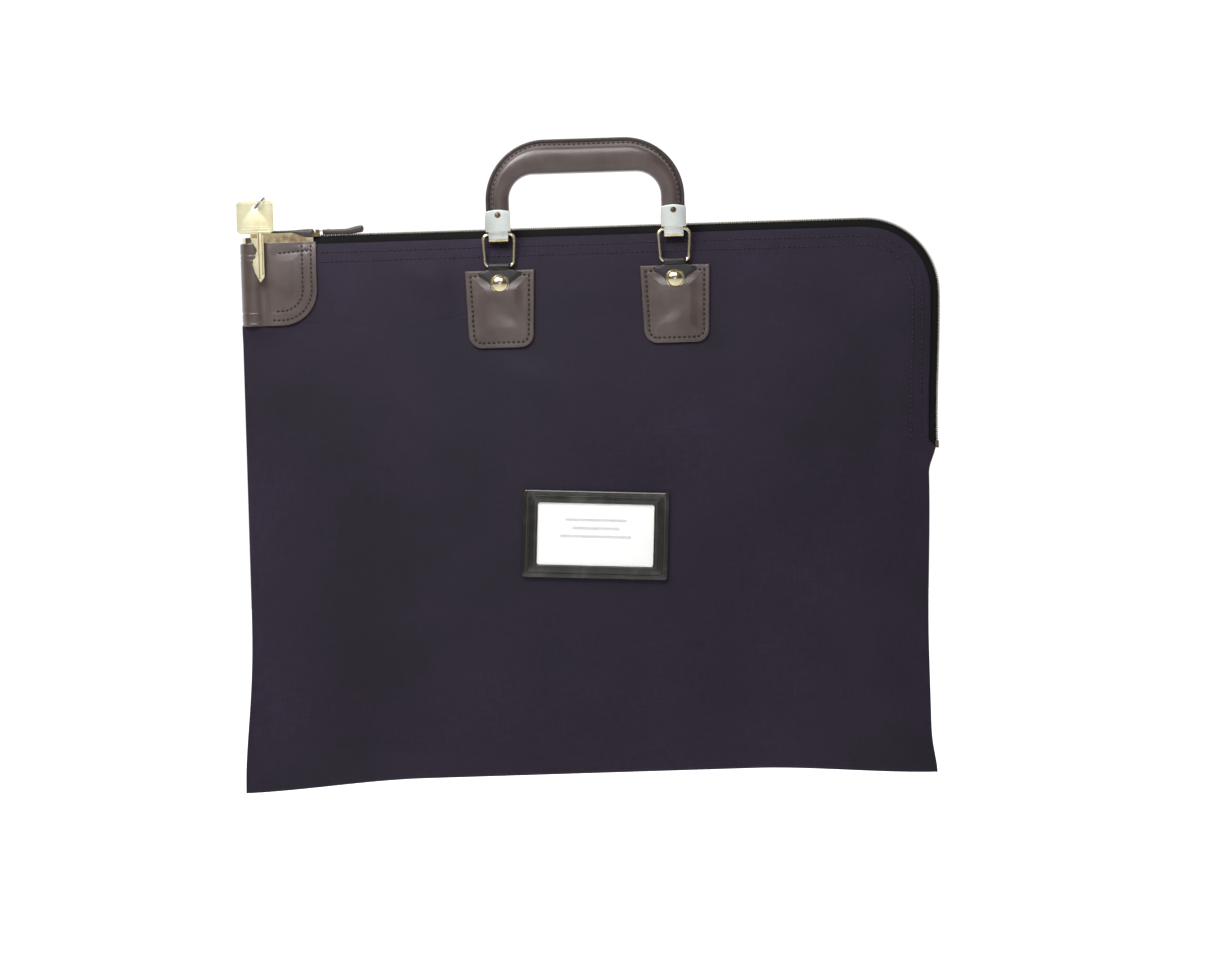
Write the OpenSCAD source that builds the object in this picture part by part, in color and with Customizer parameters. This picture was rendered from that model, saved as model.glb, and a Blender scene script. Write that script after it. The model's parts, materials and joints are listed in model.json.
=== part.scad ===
// Flat locking cash bag with a zipper, a corner key lock, a padded handle on wire rings
// and a card window. The front faces -Y, +X is to the right and +Z is up.
// Heights named *_z are measured from the bottom seam; framed() moves the finished pieces so
// that the origin lies midway between the two chapes, on the axis that the handle rings turn on.

/* [Bag] */
// Width of the bag across its top, edge to edge
bag_w = 508; // [440:1:620]
// Height of the bag from the bottom seam to the underside of the zipper chain
bag_h = 399.4; // [330:0.2:490]
// How far each panel bulges beyond its edges in the middle
bag_bulge = 15; // [8:0.5:22]
// Thickness of the nylon
fabric_t = 0.9; // [0.6:0.1:1.5]
// Half the thickness of the bag along the zipper
zip_half = 3.1; // [2.8:0.1:4.5]
// Radius of the top right corner
corner_r = 48; // [30:1:70]
// Height at which the zipper ends on the right side
zip_end_z = 236; // [180:1:280]
// How far the fabric's top edge lies below the chain
hem_drop = 5; // [4:0.5:8]

/* [Zipper] */
// Width of the closed chain
chain_w = 4.4; // [3.5:0.1:6]
// Height of the closed chain
chain_t = 2; // [1.5:0.1:3]
// Width of one zipper tape
tape_w = 15; // [10:1:20]
// Thickness of one zipper tape
tape_t = 0.5; // [0.3:0.1:0.8]
// Length of the slider's body
slider_l = 15; // [12:0.5:20]
// Thickness of the slider's plate and flanges
slider_t = 1; // [0.8:0.1:1.4]
// Length of the leather pull
pull_l = 30; // [20:1:45]
// Width of the leather pull
pull_w = 8; // [6:0.2:9]
// Thickness of the leather pull
pull_t = 2.2; // [1.5:0.1:3]

/* [Lock] */
// Height of the leather lock corner
patch_h = 61; // [55:1:80]
// Width of the leather lock corner, from the bag's left edge
patch_w = 56; // [52:1:80]
// Radius of the lock corner's lower inner corner
patch_r = 26; // [10:1:30]
// Thickness of the corner leather
patch_t = 1.6; // [1:0.1:2.2]
// Outer radius of the leather roll round the lock case
roll_r = 9; // [8.9:0.1:12]
// Outer radius of the lock case
case_r = 7.8; // [7.8:0.1:8.6]
// Radius of the key plug
plug_r = 6.2; // [6:0.1:6.6]
// Travel of the bolt
bolt_travel = 1.6; // [1.2:0.1:2]
// Radius of the bolt
bolt_r = 1.3; // [1:0.1:1.6]
// Number of wafers in the plug
wafer_count = 5; // [3:1:7]

/* [Key] */
// Width of the key's head
head_w = 26.8; // [20:0.2:32]
// Height of the key's head
head_h = 25; // [18:0.2:30]
// Width of the key's blade
blade_w = 9.8; // [8:0.1:10]
// Length of the key's blade
blade_l = 36; // [28:1:42]
// Thickness of the key
key_t = 2; // [1.6:0.1:2.2]
// Radius of the hole in the key's head
key_hole_r = 2.6; // [2:0.1:3.2]

/* [Hangers] */
// Width of a tab at its top
tab_w = 51; // [42:1:58]
// Height of a tab
tab_h = 57; // [45:1:70]
// Thickness of a tab
tab_t = 2; // [1.4:0.1:3]
// Distance from the chain down to a tab's top edge
tab_drop = 29; // [27:1:45]
// Thickness of the chape leather round the ring
chape_t = 1.2; // [0.8:0.1:1.6]
// Width of the chape
chape_w = 11.6; // [8:0.2:12]
// Diameter of the rings' wire
wire_d = 2.1; // [1.6:0.1:3]
// Width of a ring at its top bar, between wire centres
ring_top_w = 22.8; // [22.4:0.2:28]
// Width of a ring at its bottom bar, between wire centres
ring_low_w = 20.8; // [20.4:0.2:26]
// Height of a ring between wire centres
ring_h = 23.4; // [22:0.2:32]
// Radius of the domed rivets
dome_r = 7; // [4:0.5:8]

/* [Handle] */
// Overall width of the handle
handle_w = 145.4; // [125:0.2:180]
// Height of the handle's top above the zipper chain's underside
handle_rise = 65.4; // [60:0.2:90]
// Width of the handle's legs
leg_w = 17.2; // [14:0.2:17.6]
// Thickness of the handle's legs, front to back
leg_t = 10.4; // [8:0.2:10.6]
// Height of the grip in the middle of the handle
grip_h = 25.5; // [20:0.5:30]
// Thickness of the grip, front to back
grip_t = 17; // [12:0.5:22]
// Thickness of the cover leather
cover_t = 1.4; // [1:0.1:2]
// Width of the sewn flange along the handle's outer edge
flange_w = 3; // [2:0.1:5]
// Thickness of the collars' sheet metal
collar_t = 0.7; // [0.5:0.1:1.2]

/* [Card window] */
// Width of the window's frame
window_w = 106.4; // [98:0.2:130]
// Height of the window's frame
window_h = 64.2; // [60:0.2:80]
// Height of the window's centre above the bottom seam
window_z = 175; // [120:1:240]
// Angle by which the window is sewn on askew
window_tilt = 3.2; // [0:0.1:5]
// Width of the card
card_w = 88.9; // [80:0.1:95]
// Height of the card
card_h = 50.8; // [45:0.1:56]
// How far the frame covers each edge of the card
card_lap = 2; // [1:0.1:4]

/* [Hidden] */
$fn = 48;
fit = 0.08;
gap = 0.3;
skin = 0.12;
seam_half = fabric_t + 0.06;
half_w = bag_w / 2;
// On the right the zipper stands outside the fabric's edge, which leans in towards its end.
zip_inset = 2.8;
zip_lean = 4.7;
end_l = 5;
hem_z = bag_h - hem_drop;
chain_top_z = bag_h + chain_t;

// The lock's own places
lock_x = -half_w + roll_r;
lock_top_z = hem_z + 1.6;
patch_low_z = lock_top_z - patch_h;
barrel_r = case_r - 0.6;
barrel_low_z = lock_top_z - 34;
barrel_top_z = lock_top_z + 4;
cam_z = barrel_low_z - 9;
bolt_x = lock_x + 12;
hasp_z = chain_top_z + gap;
rail_l = 37;
rail_y = 3.7;
rail_t = 0.8;
rail_x = bolt_x - 4;
rail_top_z = hasp_z + slider_t + gap;
slider_x = rail_x + rail_l - slider_l + 4.5;
strap_t = 1.6;
pull_pin_x = slider_x + slider_l - 1.3;
pull_pin_z = hasp_z + slider_t + 1.15;
chain_start_x = slider_x + 1.2;

// The hangers' and the handle's own places
leg_x = handle_w / 2 - leg_w / 2;
tab_x = leg_x;
tab_top_z = bag_h - tab_drop;
chape_r = wire_d / 2 + fit + chape_t;
ring_z = tab_top_z + chape_r + 0.4;
ring_top_z = ring_z + ring_h;
ring_y = -(half_gap(tab_x, ring_z) + chape_r + gap);
handle_top_z = bag_h + handle_rise;
collar_low_z = ring_top_z + wire_d / 2 + 0.6;
collar_h = 16;
collar_w = leg_w + 2 * collar_t + 2 * fit;
collar_d = leg_t + 2 * collar_t + 2 * fit + 0.2;
leg_low_z = collar_low_z + 1.4;
outer_bend = 44;
inner_bend = 18;
handle_sides = 14;
leg_in_x = handle_w / 2 - leg_w;
collar_pin_z = collar_low_z + collar_h - 4;
dome_z = tab_top_z - 10;

// The window's own places
window_y = -(max([for (x = [-1 : 1], z = [-1 : 1])
    half_gap(x * window_w / 2, window_z + z * window_h / 2)]) + skin);
backing_t = 0.5;
pocket_t = 0.55;
pane_t = 0.25;
frame_t = 1.1;
opening_w = card_w - 2 * card_lap;
opening_h = card_h - 2 * card_lap - 1.6;

nylon = [0.19, 0.16, 0.22];
leather = [0.38, 0.33, 0.31];
dark_leather = [0.24, 0.19, 0.19];
brass = [0.80, 0.70, 0.42];
nickel = [0.87, 0.88, 0.87];
vinyl = [0.08, 0.08, 0.09];

// ---- Shape rules ----

function smooth(t) = let (c = min(1, max(0, t))) c * c * (3 - 2 * c);
function mix(a, b, t) = a + (b - a) * t;

// Left and right edges of the bag at a height: both lean out towards the pointed bottom
// corners, and the right side is fuller above the zipper's end.
function left_x(z) = -half_w - 8 * pow(1 - smooth(z / 150), 2);
function right_top_x(z) = half_w - zip_inset - zip_lean * (1 - smooth((z - zip_end_z) / 115));
function right_low_x(z) =
    half_w - 2.3 - 5.7 * smooth((zip_end_z - z) / 22) - 4 * smooth((zip_end_z - 20 - z) / 130)
        + 3.4 * pow(1 - smooth(z / 40), 2);
function right_x(z) =
    let (full = half_w - zip_inset, centre_z = hem_z - corner_r)
    z > centre_z
        ? full - corner_r + sqrt(max(0, pow(corner_r, 2) - pow(z - centre_z, 2)))
        : z > zip_end_z
            ? right_top_x(z)
            : min(right_low_x(z), right_top_x(zip_end_z) + 5.2 * smooth((zip_end_z - end_l - 1 - z) / 5));

// Height of the bottom seam: level in the middle, drooping to the two corners.
function seam_z(x) = -7 * smooth((abs(x + 10) - 120) / 140);

// Half the bag's thickness at a place: thin at the seams, a little open along the zipper,
// full in the middle, and swollen beside the lock.
function zip_share(x, z) =
    max(smooth((z - hem_z + 70) / 60), smooth((x - half_w + 90) / 80) * smooth((z - zip_end_z + 26) / 26));
function lock_share(x, z) =
    exp(-pow((x - lock_x) / 19, 2)) * smooth((z - patch_low_z + 16) / 16);
function half_gap(x, z) =
    let (
        l = left_x(z), r = max(l + 1, right_x(z)),
        u = min(1, max(-1, (2 * x - l - r) / (r - l))),
        v = min(1, max(-1, 2 * z / hem_z - 1)),
        belly = max(0, 1 - pow(abs(u), 2.4)) * max(0, 1 - pow(abs(v), 2.2))
    )
    seam_half + (zip_half - seam_half) * zip_share(x, z) + bag_bulge * pow(belly, 0.75)
        + 2.6 * lock_share(x, z);

// A closed sheet over a grid of [x, z] places: side is -1 in front and 1 behind, near and far
// are its two faces' distances out from the bag's own surface.
module sheet(grid, side, near, far) {
    rows = len(grid);
    cols = len(grid[0]);
    count = rows * cols;
    points = [
        for (d = [far, near], row = grid, p = row) [p[0], side * (half_gap(p[0], p[1]) + d), p[1]]
    ];
    turn = side < 0;
    faces = [
        for (i = [0 : rows - 2], j = [0 : cols - 2])
            let (a = i * cols + j, b = a + 1, c = a + cols + 1, d = a + cols)
            each [[a, c, b], [a, d, c],
                [count + a, count + b, count + c], [count + a, count + c, count + d]],
        for (j = [0 : cols - 2])
            let (a = j, b = j + 1, c = (rows - 1) * cols + j, d = c + 1)
            each [[a, b, count + b], [a, count + b, count + a],
                [c, count + d, d], [c, count + c, count + d]],
        for (i = [0 : rows - 2])
            let (a = i * cols, b = a + cols, c = a + cols - 1, d = c + cols)
            each [[a, count + b, b], [a, count + a, count + b],
                [c, d, count + d], [c, count + d, count + c]]
    ];
    polyhedron(points, turn ? [for (f = faces) [f[2], f[1], f[0]]] : faces, convexity = 4);
}

// Rows of places across a panel. Two rows close together make the step where the panel stops
// short of the lock in its top left corner.
low_rows = 13;
high_rows = 7;
panel_cols = 21;
notch_z = patch_low_z - 0.3;
function panel_left(z) = z > notch_z ? lock_x + roll_r + 0.6 : left_x(z);
function eased(t) = mix(t, 0.5 - 0.5 * cos(180 * t), 0.75);
function eased_in(t) = mix(t, 1 - cos(90 * t), 0.75);
function panel_heights() = concat(
    [for (i = [0 : low_rows]) (notch_z - 0.2) * eased_in(i / low_rows)],
    [for (i = [0 : high_rows]) mix(notch_z + 0.2, hem_z, 1 - eased_in(1 - i / high_rows))]
);
function panel_grid() = [
    for (z = panel_heights())
        let (l = panel_left(z), r = right_x(z))
        [for (j = [0 : panel_cols - 1])
            let (x = mix(l, r, eased(j / (panel_cols - 1))))
            [x, z + seam_z(x) * pow(1 - z / hem_z, 6)]]
];

// The path along the zipper: along the top, round the corner and down the right side. Each
// station is [x, z, inward x, inward z].
function zip_path(start_x) =
    let (
        full = half_w - zip_inset,
        cx = full - corner_r,
        cz = hem_z - corner_r,
        side = [for (i = [1 : 5]) mix(cz, zip_end_z, i / 5)]
    )
    concat(
        [for (i = [0 : 3]) [mix(start_x, cx, i / 4), hem_z, 0, -1]],
        [for (a = [90 : -10 : 0]) [cx + corner_r * cos(a), cz + corner_r * sin(a), -cos(a), -sin(a)]],
        [for (z = side) [right_top_x(z), z, -1, 0]]
    );

// A profile of [inward distance, y] places carried along the zipper's path.
module along_zip(start_x, profile) {
    path = zip_path(start_x);
    n = len(profile);
    last = (len(path) - 1) * n;
    points = [
        for (s = path, p = profile) [s[0] + s[2] * p[0], p[1], s[1] + s[3] * p[0]]
    ];
    faces = concat(
        [for (i = [0 : len(path) - 2], j = [0 : n - 1])
            let (k = (j + 1) % n)
            each [[i * n + j, i * n + k, (i + 1) * n + k], [i * n + j, (i + 1) * n + k, (i + 1) * n + j]]],
        [[for (j = [n - 1 : -1 : 0]) j], [for (j = [0 : n - 1]) last + j]]
    );
    polyhedron(points, faces, convexity = 6);
}

// A round wire bent into a closed loop of straight bars in the XZ plane: every corner is an
// arc, and the wire's section is carried round them all.
function bend_places(corners, bend, i) =
    let (
        n = len(corners),
        here = corners[i],
        before = corners[(i + n - 1) % n],
        after = corners[(i + 1) % n],
        in_dir = (here - before) / norm(here - before),
        out_dir = (after - here) / norm(after - here),
        turn = acos(in_dir * out_dir),
        centre = here - in_dir * bend * tan(turn / 2) + bend * [-in_dir[1], in_dir[0]],
        first = atan2(in_dir[1], in_dir[0]) - 90
    )
    [for (k = [0 : 6]) let (a = first + turn * k / 6) [centre[0] + bend * cos(a), centre[1] + bend * sin(a), a]];
module wire_loop(corners, bend, d, sides = 12) {
    places = [for (i = [0 : len(corners) - 1]) each bend_places(corners, bend, i)];
    rows = len(places);
    polyhedron(
        [for (p = places, j = [0 : sides - 1])
            let (b = 360 * j / sides, r = d / 2 * cos(b))
            [p[0] + r * cos(p[2]), d / 2 * sin(b), p[1] + r * sin(p[2])]],
        [for (i = [0 : rows - 1], j = [0 : sides - 1])
            let (k = (j + 1) % sides, a = i * sides, b = ((i + 1) % rows) * sides)
            each [[a + j, a + k, b + k], [a + j, b + k, b + j]]],
        convexity = 6);
}

// A round wire wound into an open spring along +Z.
module coil_spring(r, wire_r, length, turns, sides = 6, per_turn = 10) {
    steps = turns * per_turn;
    points = [
        for (i = [0 : steps])
            let (a = 360 * i / per_turn, z = wire_r + (length - 2 * wire_r) * i / steps)
            for (j = [0 : sides - 1])
                let (b = 360 * j / sides)
                [(r + wire_r * cos(b)) * cos(a), (r + wire_r * cos(b)) * sin(a), z + wire_r * sin(b)]
    ];
    faces = concat(
        [for (i = [0 : steps - 1], j = [0 : sides - 1])
            let (k = (j + 1) % sides, a = i * sides, b = a + sides)
            each [[a + j, b + k, a + k], [a + j, b + j, b + k]]],
        [[for (j = [0 : sides - 1]) j], [for (j = [sides - 1 : -1 : 0]) steps * sides + j]]
    );
    polyhedron(points, faces, convexity = 10);
}

module framed() translate([0, -ring_y, -ring_z]) children();

// A block with rounded corners in the XZ plane, drawn from its lower face at y towards -Y.
module slab(w, h, t, r) {
    rotate([90, 0, 0]) linear_extrude(t) rounded(w, h, r);
}
module rounded(w, h, r) {
    union() {
        square([w - 2 * r, h], center = true);
        square([w, h - 2 * r], center = true);
        for (x = [-1, 1], y = [-1, 1]) translate([x * (w / 2 - r), y * (h / 2 - r)]) circle(r);
    }
}

// ---- Bag shell ----

module front_panel() framed() color(nylon)
    difference() {
        sheet(panel_grid(), -1, -fabric_t, 0);
        for (side = [-1, 1]) through_dome(side, stem_r + 0.02);
    }

module back_panel() framed() color(nylon) sheet(panel_grid(), 1, -fabric_t, 0);

// Folded tape over the raw edges inside the sewn seams.
binding_in = 7;
binding_w = 7;
binding_t = 1;
function sewn_edge(inset) = concat(
    [for (i = [0 : 6]) let (z = mix(patch_low_z - 8, inset, i / 6)) [left_x(z) + inset, z]],
    [for (i = [1 : 7]) let (x = mix(left_x(0) + inset, right_x(0) - inset, i / 8)) [x, inset + seam_z(x) * 0.6]],
    [for (i = [0 : 6]) let (z = mix(inset, zip_end_z - 30, i / 6)) [right_x(z) - inset, z]]
);
module seam_binding() framed() color(nylon) {
    outer = sewn_edge(binding_in);
    inner = sewn_edge(binding_in + binding_w);
    translate([0, binding_t / 2, 0])
        rotate([90, 0, 0])
            linear_extrude(binding_t)
                polygon(concat(outer, [for (i = [len(inner) - 1 : -1 : 0]) inner[i]]));
}

// ---- Zipper ----

// Each tape rises inside the fabric's edge and leans in under the chain.
tape_y = zip_half - fabric_t - 0.2;
tape_top_y = chain_w / 2 - 0.2;
function tape_profile(side) = [
    [tape_w - hem_drop, side * (tape_y - tape_t)],
    [-0.5, side * (tape_y - tape_t)],
    [-hem_drop + 0.02, side * (tape_top_y - tape_t)],
    [-hem_drop + 0.02, side * tape_top_y],
    [-0.5, side * tape_y],
    [tape_w - hem_drop, side * tape_y]
];
module zipper_tape_front() framed() color([0.13, 0.15, 0.15])
    along_zip(chain_start_x, [for (i = [5 : -1 : 0]) tape_profile(-1)[i]]);

module zipper_tape_back() framed() color([0.13, 0.15, 0.15])
    along_zip(chain_start_x, tape_profile(1));

module zipper_chain() framed() color(brass)
    along_zip(chain_start_x, [
        [-hem_drop, chain_w / 2], [-hem_drop, -chain_w / 2],
        [-hem_drop - chain_t, -chain_w / 2], [-hem_drop - chain_t, chain_w / 2]
    ]);

module zipper_top_stop() framed() color(brass)
    translate([chain_start_x - 2.2, -chain_w / 2, bag_h]) cube([2, chain_w, chain_t]);

// The box that ends the chain on the right side.
module zipper_end_stop() framed() color(brass)
    translate([right_top_x(zip_end_z) + hem_drop - 0.2, -chain_w / 2 - 0.2, zip_end_z - end_l - 0.1])
        cube([chain_t + 0.4, chain_w + 0.4, end_l]);

// ---- Lock corner ----

// Rows of places over the corner patch; its lower inner corner is round.
patch_left = lock_x + roll_r + 0.9;
patch_right = -half_w + patch_w;
function patch_edge(z) =
    let (rise = patch_low_z + patch_r - z)
    patch_right - (rise > 0 ? patch_r - sqrt(max(0, pow(patch_r, 2) - pow(rise, 2))) : 0);
function patch_grid() = [
    for (i = [0 : 12])
        let (z = patch_low_z + patch_h * pow(i / 12, 1.5))
        [for (j = [0 : 8]) [mix(patch_left, max(patch_left + 8, patch_edge(z)), j / 8), min(z, hem_z)]]
];
module corner_patch_front() framed() color(leather) sheet(patch_grid(), -1, skin, skin + patch_t);

module corner_patch_back() framed() color(leather) sheet(patch_grid(), 1, skin, skin + patch_t);

side_y = 2.7;
side_out = side_y + 0.8;
module corner_roll() framed() color(leather)
    translate([lock_x, 0, patch_low_z])
        difference() {
            cylinder(r = roll_r, h = patch_h);
            translate([0, 0, -1]) cylinder(r = case_r + fit, h = patch_h + 2);
            translate([0, -side_out - fit, -1]) cube([roll_r + 1, 2 * (side_out + fit), patch_h + 2]);
        }

// Brass case: a tube for the barrel and, beside it, a box that guides the bolt.
case_low_z = patch_low_z + 2;
box_l = bolt_x + 3.4 - lock_x;
module lock_case() framed() color(brass)
    translate([lock_x, 0, 0])
        difference() {
            union() {
                translate([0, 0, case_low_z]) cylinder(r = case_r, h = lock_top_z - case_low_z);
                translate([0, -side_out, case_low_z]) cube([box_l, 2 * side_out, lock_top_z - case_low_z]);
            }
            translate([0, 0, case_low_z + 1]) cylinder(r = barrel_r, h = lock_top_z - case_low_z);
            translate([0, -side_y, case_low_z + 1]) cube([box_l - 0.8, 2 * side_y, cam_z - case_low_z + 8]);
            translate([bolt_x - lock_x, 0, case_low_z + 1]) cylinder(r = bolt_r + fit, h = patch_h);
            translate([bolt_x - lock_x, 0, foot_z])
                cylinder(r = spring_r + spring_wire + 0.3, h = foot_t + spring_l + 0.2);
        }

// The open rail on the bag's edge that the slider's hasp runs into.
module lock_rail() framed() color(brass)
    translate([rail_x, 0, lock_top_z]) {
        rail_h = rail_top_z - lock_top_z;
        for (side = [-1, 1])
            translate([0, side * (rail_y + rail_t / 2) - rail_t / 2, 0]) cube([rail_l, rail_t, rail_h]);
        difference() {
            translate([0, -rail_y, 0]) cube([chain_start_x - 4 - rail_x, 2 * rail_y, rail_t]);
            translate([bolt_x - rail_x, 0, -1]) cylinder(r = bolt_r + fit, h = 3);
        }
    }

module lock_strap() framed() color(dark_leather)
    translate([rail_x, -rail_y - rail_t, rail_top_z]) {
        translate([-1, 0, 0]) cube([rail_l + 1, 2 * (rail_y + rail_t), strap_t]);
    }

// The fixed barrel with its round bore for the plug.
module lock_barrel() framed() color(brass)
    translate([lock_x, 0, 0])
        difference() {
            translate([0, 0, barrel_low_z]) cylinder(r = barrel_r - 0.01, h = barrel_top_z - barrel_low_z);
            translate([0, 0, barrel_low_z - 1]) cylinder(r = plug_r + fit, h = patch_h);
        }

keyway_w = blade_w + 0.4;
keyway_t = key_t + 0.4;
plug_top_z = barrel_top_z - 0.6;
wafer_t = 1;
wafer_pitch = 5;
wafer_w = 2 * plug_r - 1.2;
wafer_h = 4.4;
function wafer_z(i) = plug_top_z - 7 - i * wafer_pitch;
module lock_plug() framed() color(brass)
    translate([lock_x, 0, 0])
        difference() {
            translate([0, 0, barrel_low_z]) cylinder(r = plug_r, h = plug_top_z - barrel_low_z);
            translate([-keyway_w / 2, -keyway_t / 2, barrel_low_z + 2])
                cube([keyway_w, keyway_t, patch_h]);
            for (i = [0 : wafer_count - 1])
                translate([-wafer_w / 2 - fit, -wafer_h / 2 - fit, wafer_z(i) - fit])
                    cube([wafer_w + 2 * fit, wafer_h + 2 * fit, wafer_t + 2 * fit]);
        }

// Flat wafers that the key's cuts line up, each with a window for the blade.
module lock_wafers() framed() color(brass)
    for (i = [0 : wafer_count - 1])
        translate([lock_x, 0, wafer_z(i)])
            difference() {
                translate([-wafer_w / 2, -wafer_h / 2, 0]) cube([wafer_w, wafer_h, wafer_t]);
                translate([-keyway_w / 2, -keyway_t / 2, -1]) cube([keyway_w, keyway_t, wafer_t + 2]);
            }

// The plug's tail and, at its foot, the cam disc that lifts the bolt.
tail_r = 2;
disc_r = 5.2;
disc_t = 1.6;
module plug_cam() framed() color(brass)
    translate([lock_x, 0, cam_z]) {
        cylinder(r = disc_r, h = disc_t);
        translate([0, 0, disc_t]) cylinder(r = tail_r, h = barrel_low_z - cam_z - disc_t);
    }

// The bolt: a round rod beside the barrel with a foot that rests over the cam disc.
foot_t = 2;
foot_z = cam_z + disc_t + fit;
module lock_bolt() framed() color(nickel) {
    translate([bolt_x, 0, foot_z]) cylinder(r = bolt_r, h = hasp_z - gap - foot_z);
    translate([lock_x + tail_r + 0.6, -bolt_r, foot_z])
        cube([bolt_x - lock_x - tail_r - 0.6, 2 * bolt_r, foot_t]);
}

spring_r = 2;
spring_l = 14;
spring_wire = 0.3;
module bolt_spring() framed() color(nickel)
    translate([bolt_x, 0, foot_z + foot_t + 0.1])
        coil_spring(spring_r, spring_wire, spring_l, 5);

// ---- Slider and pull ----

flange_drop = chain_t + gap - 0.4;
module slider_body() framed() color(brass)
    translate([slider_x, 0, hasp_z]) {
        flange_y = chain_w / 2 + gap;
        translate([0, -flange_y - slider_t, 0]) cube([slider_l, 2 * (flange_y + slider_t), slider_t]);
        for (side = [-1, 1])
            translate([0, side * (flange_y + slider_t / 2) - slider_t / 2, -flange_drop])
                cube([slider_l, slider_t, flange_drop]);
        difference() {
            translate([slider_l - 2.8, -lug_y - lug_t, slider_t])
                cube([2.8, 2 * (lug_y + lug_t), pull_pin_z + 0.9 - hasp_z - slider_t]);
            translate([slider_l - 3.8, -lug_y, slider_t]) cube([4.8, 2 * lug_y, 4]);
        }
        translate([slider_l - 1.3, lug_y + 0.2, pull_pin_z - hasp_z])
            rotate([90, 0, 0]) cylinder(r = pull_pin_r, h = 2 * lug_y + 0.4);
    }

lug_y = 1.8;
lug_t = 0.8;
pull_pin_r = 0.5;
hasp_l = slider_x - bolt_x + 3;
module slider_hasp() framed() color(brass)
    difference() {
        translate([slider_x - hasp_l, -2.6, hasp_z]) cube([hasp_l - 0.02, 5.2, slider_t]);
        translate([bolt_x, 0, hasp_z - 1]) cylinder(r = bolt_r + gap, h = slider_t + 2);
    }

// The brass link turns on the slider's pin and is riveted into the leather pull.
link_l = 11;
link_t = 0.8;
link_y = lug_y - gap;
link_r = pull_pin_r + fit + 0.45;
module pull_link() framed() color(brass)
    translate([pull_pin_x, 0, pull_pin_z])
        difference() {
            union() {
                translate([0, link_y, 0]) rotate([90, 0, 0]) cylinder(r = link_r, h = 2 * link_y);
                translate([link_r - 0.3, -link_y, -link_t / 2]) cube([link_l - link_r + 0.3, 2 * link_y, link_t]);
            }
            translate([0, link_y + 1, 0]) rotate([90, 0, 0]) cylinder(r = pull_pin_r + fit, h = 2 * link_y + 2);
            translate([link_l - 3, 0, -2]) cylinder(r = pull_rivet_r + 0.02, h = 4);
        }

pull_rivet_r = 0.8;
pull_start = 4;
module pull_tab() framed() color(dark_leather)
    translate([pull_pin_x, 0, pull_pin_z])
        difference() {
            translate([pull_start, 0, -pull_t / 2]) linear_extrude(pull_t) {
                translate([0, -pull_w / 2]) square([pull_l - pull_w / 2, pull_w]);
                translate([pull_l - pull_w / 2, 0]) circle(d = pull_w);
            }
            translate([pull_start - 1, -link_y - 0.02, -link_t / 2 - 0.02])
                cube([link_l - pull_start + 1.1, 2 * link_y + 0.04, link_t + 0.04]);
            translate([link_l - 3, 0, -3]) cylinder(r = pull_rivet_r + 0.02, h = 6);
        }

module pull_rivet() framed() color(brass)
    translate([pull_pin_x + link_l - 3, 0, pull_pin_z - pull_t / 2]) {
        cylinder(r = pull_rivet_r, h = pull_t);
        translate([0, 0, pull_t]) intersection() {
            translate([0, 0, -1.2]) sphere(r = 2);
            cylinder(r = 2, h = 2);
        }
    }

// ---- Key ----

key_x = lock_x + 3.4;
key_y = -(roll_r + gap + key_t);
head_low_z = lock_top_z + 6.6;
key_hole_z = head_low_z + head_h - 6.5;
// The cuts run down the blade's left edge: [share of the blade's length, depth].
key_cuts = [[0.02, 0], [0.16, 0.6], [0.28, 2.4], [0.38, 4.2], [0.46, 4.4], [0.54, 2.6],
    [0.66, 0.8], [0.78, 0.6], [0.88, 2.2]];
module key() framed() color(brass)
    translate([key_x, key_y + key_t, head_low_z])
        rotate([90, 0, 0])
            difference() {
                union() {
                    linear_extrude(key_t)
                        difference() {
                            translate([0, head_h / 2]) rounded(head_w, head_h, 3.5);
                            translate([0, head_h - 6.5]) circle(key_hole_r);
                        }
                    linear_extrude(key_t)
                        polygon(concat(
                            [[blade_w / 2 + 1, 0.5], [-blade_w / 2 + 1, 0.5]],
                            [for (c = key_cuts) [1 - blade_w / 2 + c[1], -blade_l * c[0]]],
                            [[1.6, -blade_l], [blade_w / 2 + 1, -blade_l * 0.88]]
                        ));
                }
                for (x = [1.2, 4]) translate([x, -blade_l - 1, key_t - 0.5]) cube([0.9, blade_l - 1, 1]);
            }

key_ring_r = 5.2;
key_ring_wire = 0.45;
key_ring_lean = 45;
module key_ring() framed() color(nickel)
    translate([key_x, key_y + key_t / 2, key_hole_z])
        rotate([0, key_ring_lean, 0])
            translate([0, 0, key_ring_r])
                rotate([0, 90, 0])
                    rotate_extrude() translate([key_ring_r, 0]) circle(key_ring_wire);

// ---- Hangers ----

tab_bend = 9.5;
tab_taper = 2;
function tab_half(z) =
    let (up = z - (tab_top_z - tab_h), rise = tab_bend - up)
    tab_w / 2 - tab_taper * (1 - up / tab_h)
        - (rise > 0 ? tab_bend - sqrt(max(0, pow(tab_bend, 2) - pow(rise, 2))) : 0);
function tab_grid(side) = [
    for (i = [0 : 12])
        let (z = tab_top_z - tab_h * (1 - pow(i / 12, 1.4)), w = tab_half(z))
        [for (j = [0 : 10]) [side * tab_x + mix(-w, w, j / 10), z]]
];
module through_dome(side, r)
    translate([side * tab_x, 0, dome_z]) rotate([90, 0, 0]) cylinder(r = r, h = 80, center = true);
module leather_tab(side) color(leather)
    difference() {
        sheet(tab_grid(side), -1, skin, skin + tab_t);
        through_dome(side, stem_r + 0.02);
    }
module tab_left() framed() leather_tab(-1);

module tab_right() framed() leather_tab(1);

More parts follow.
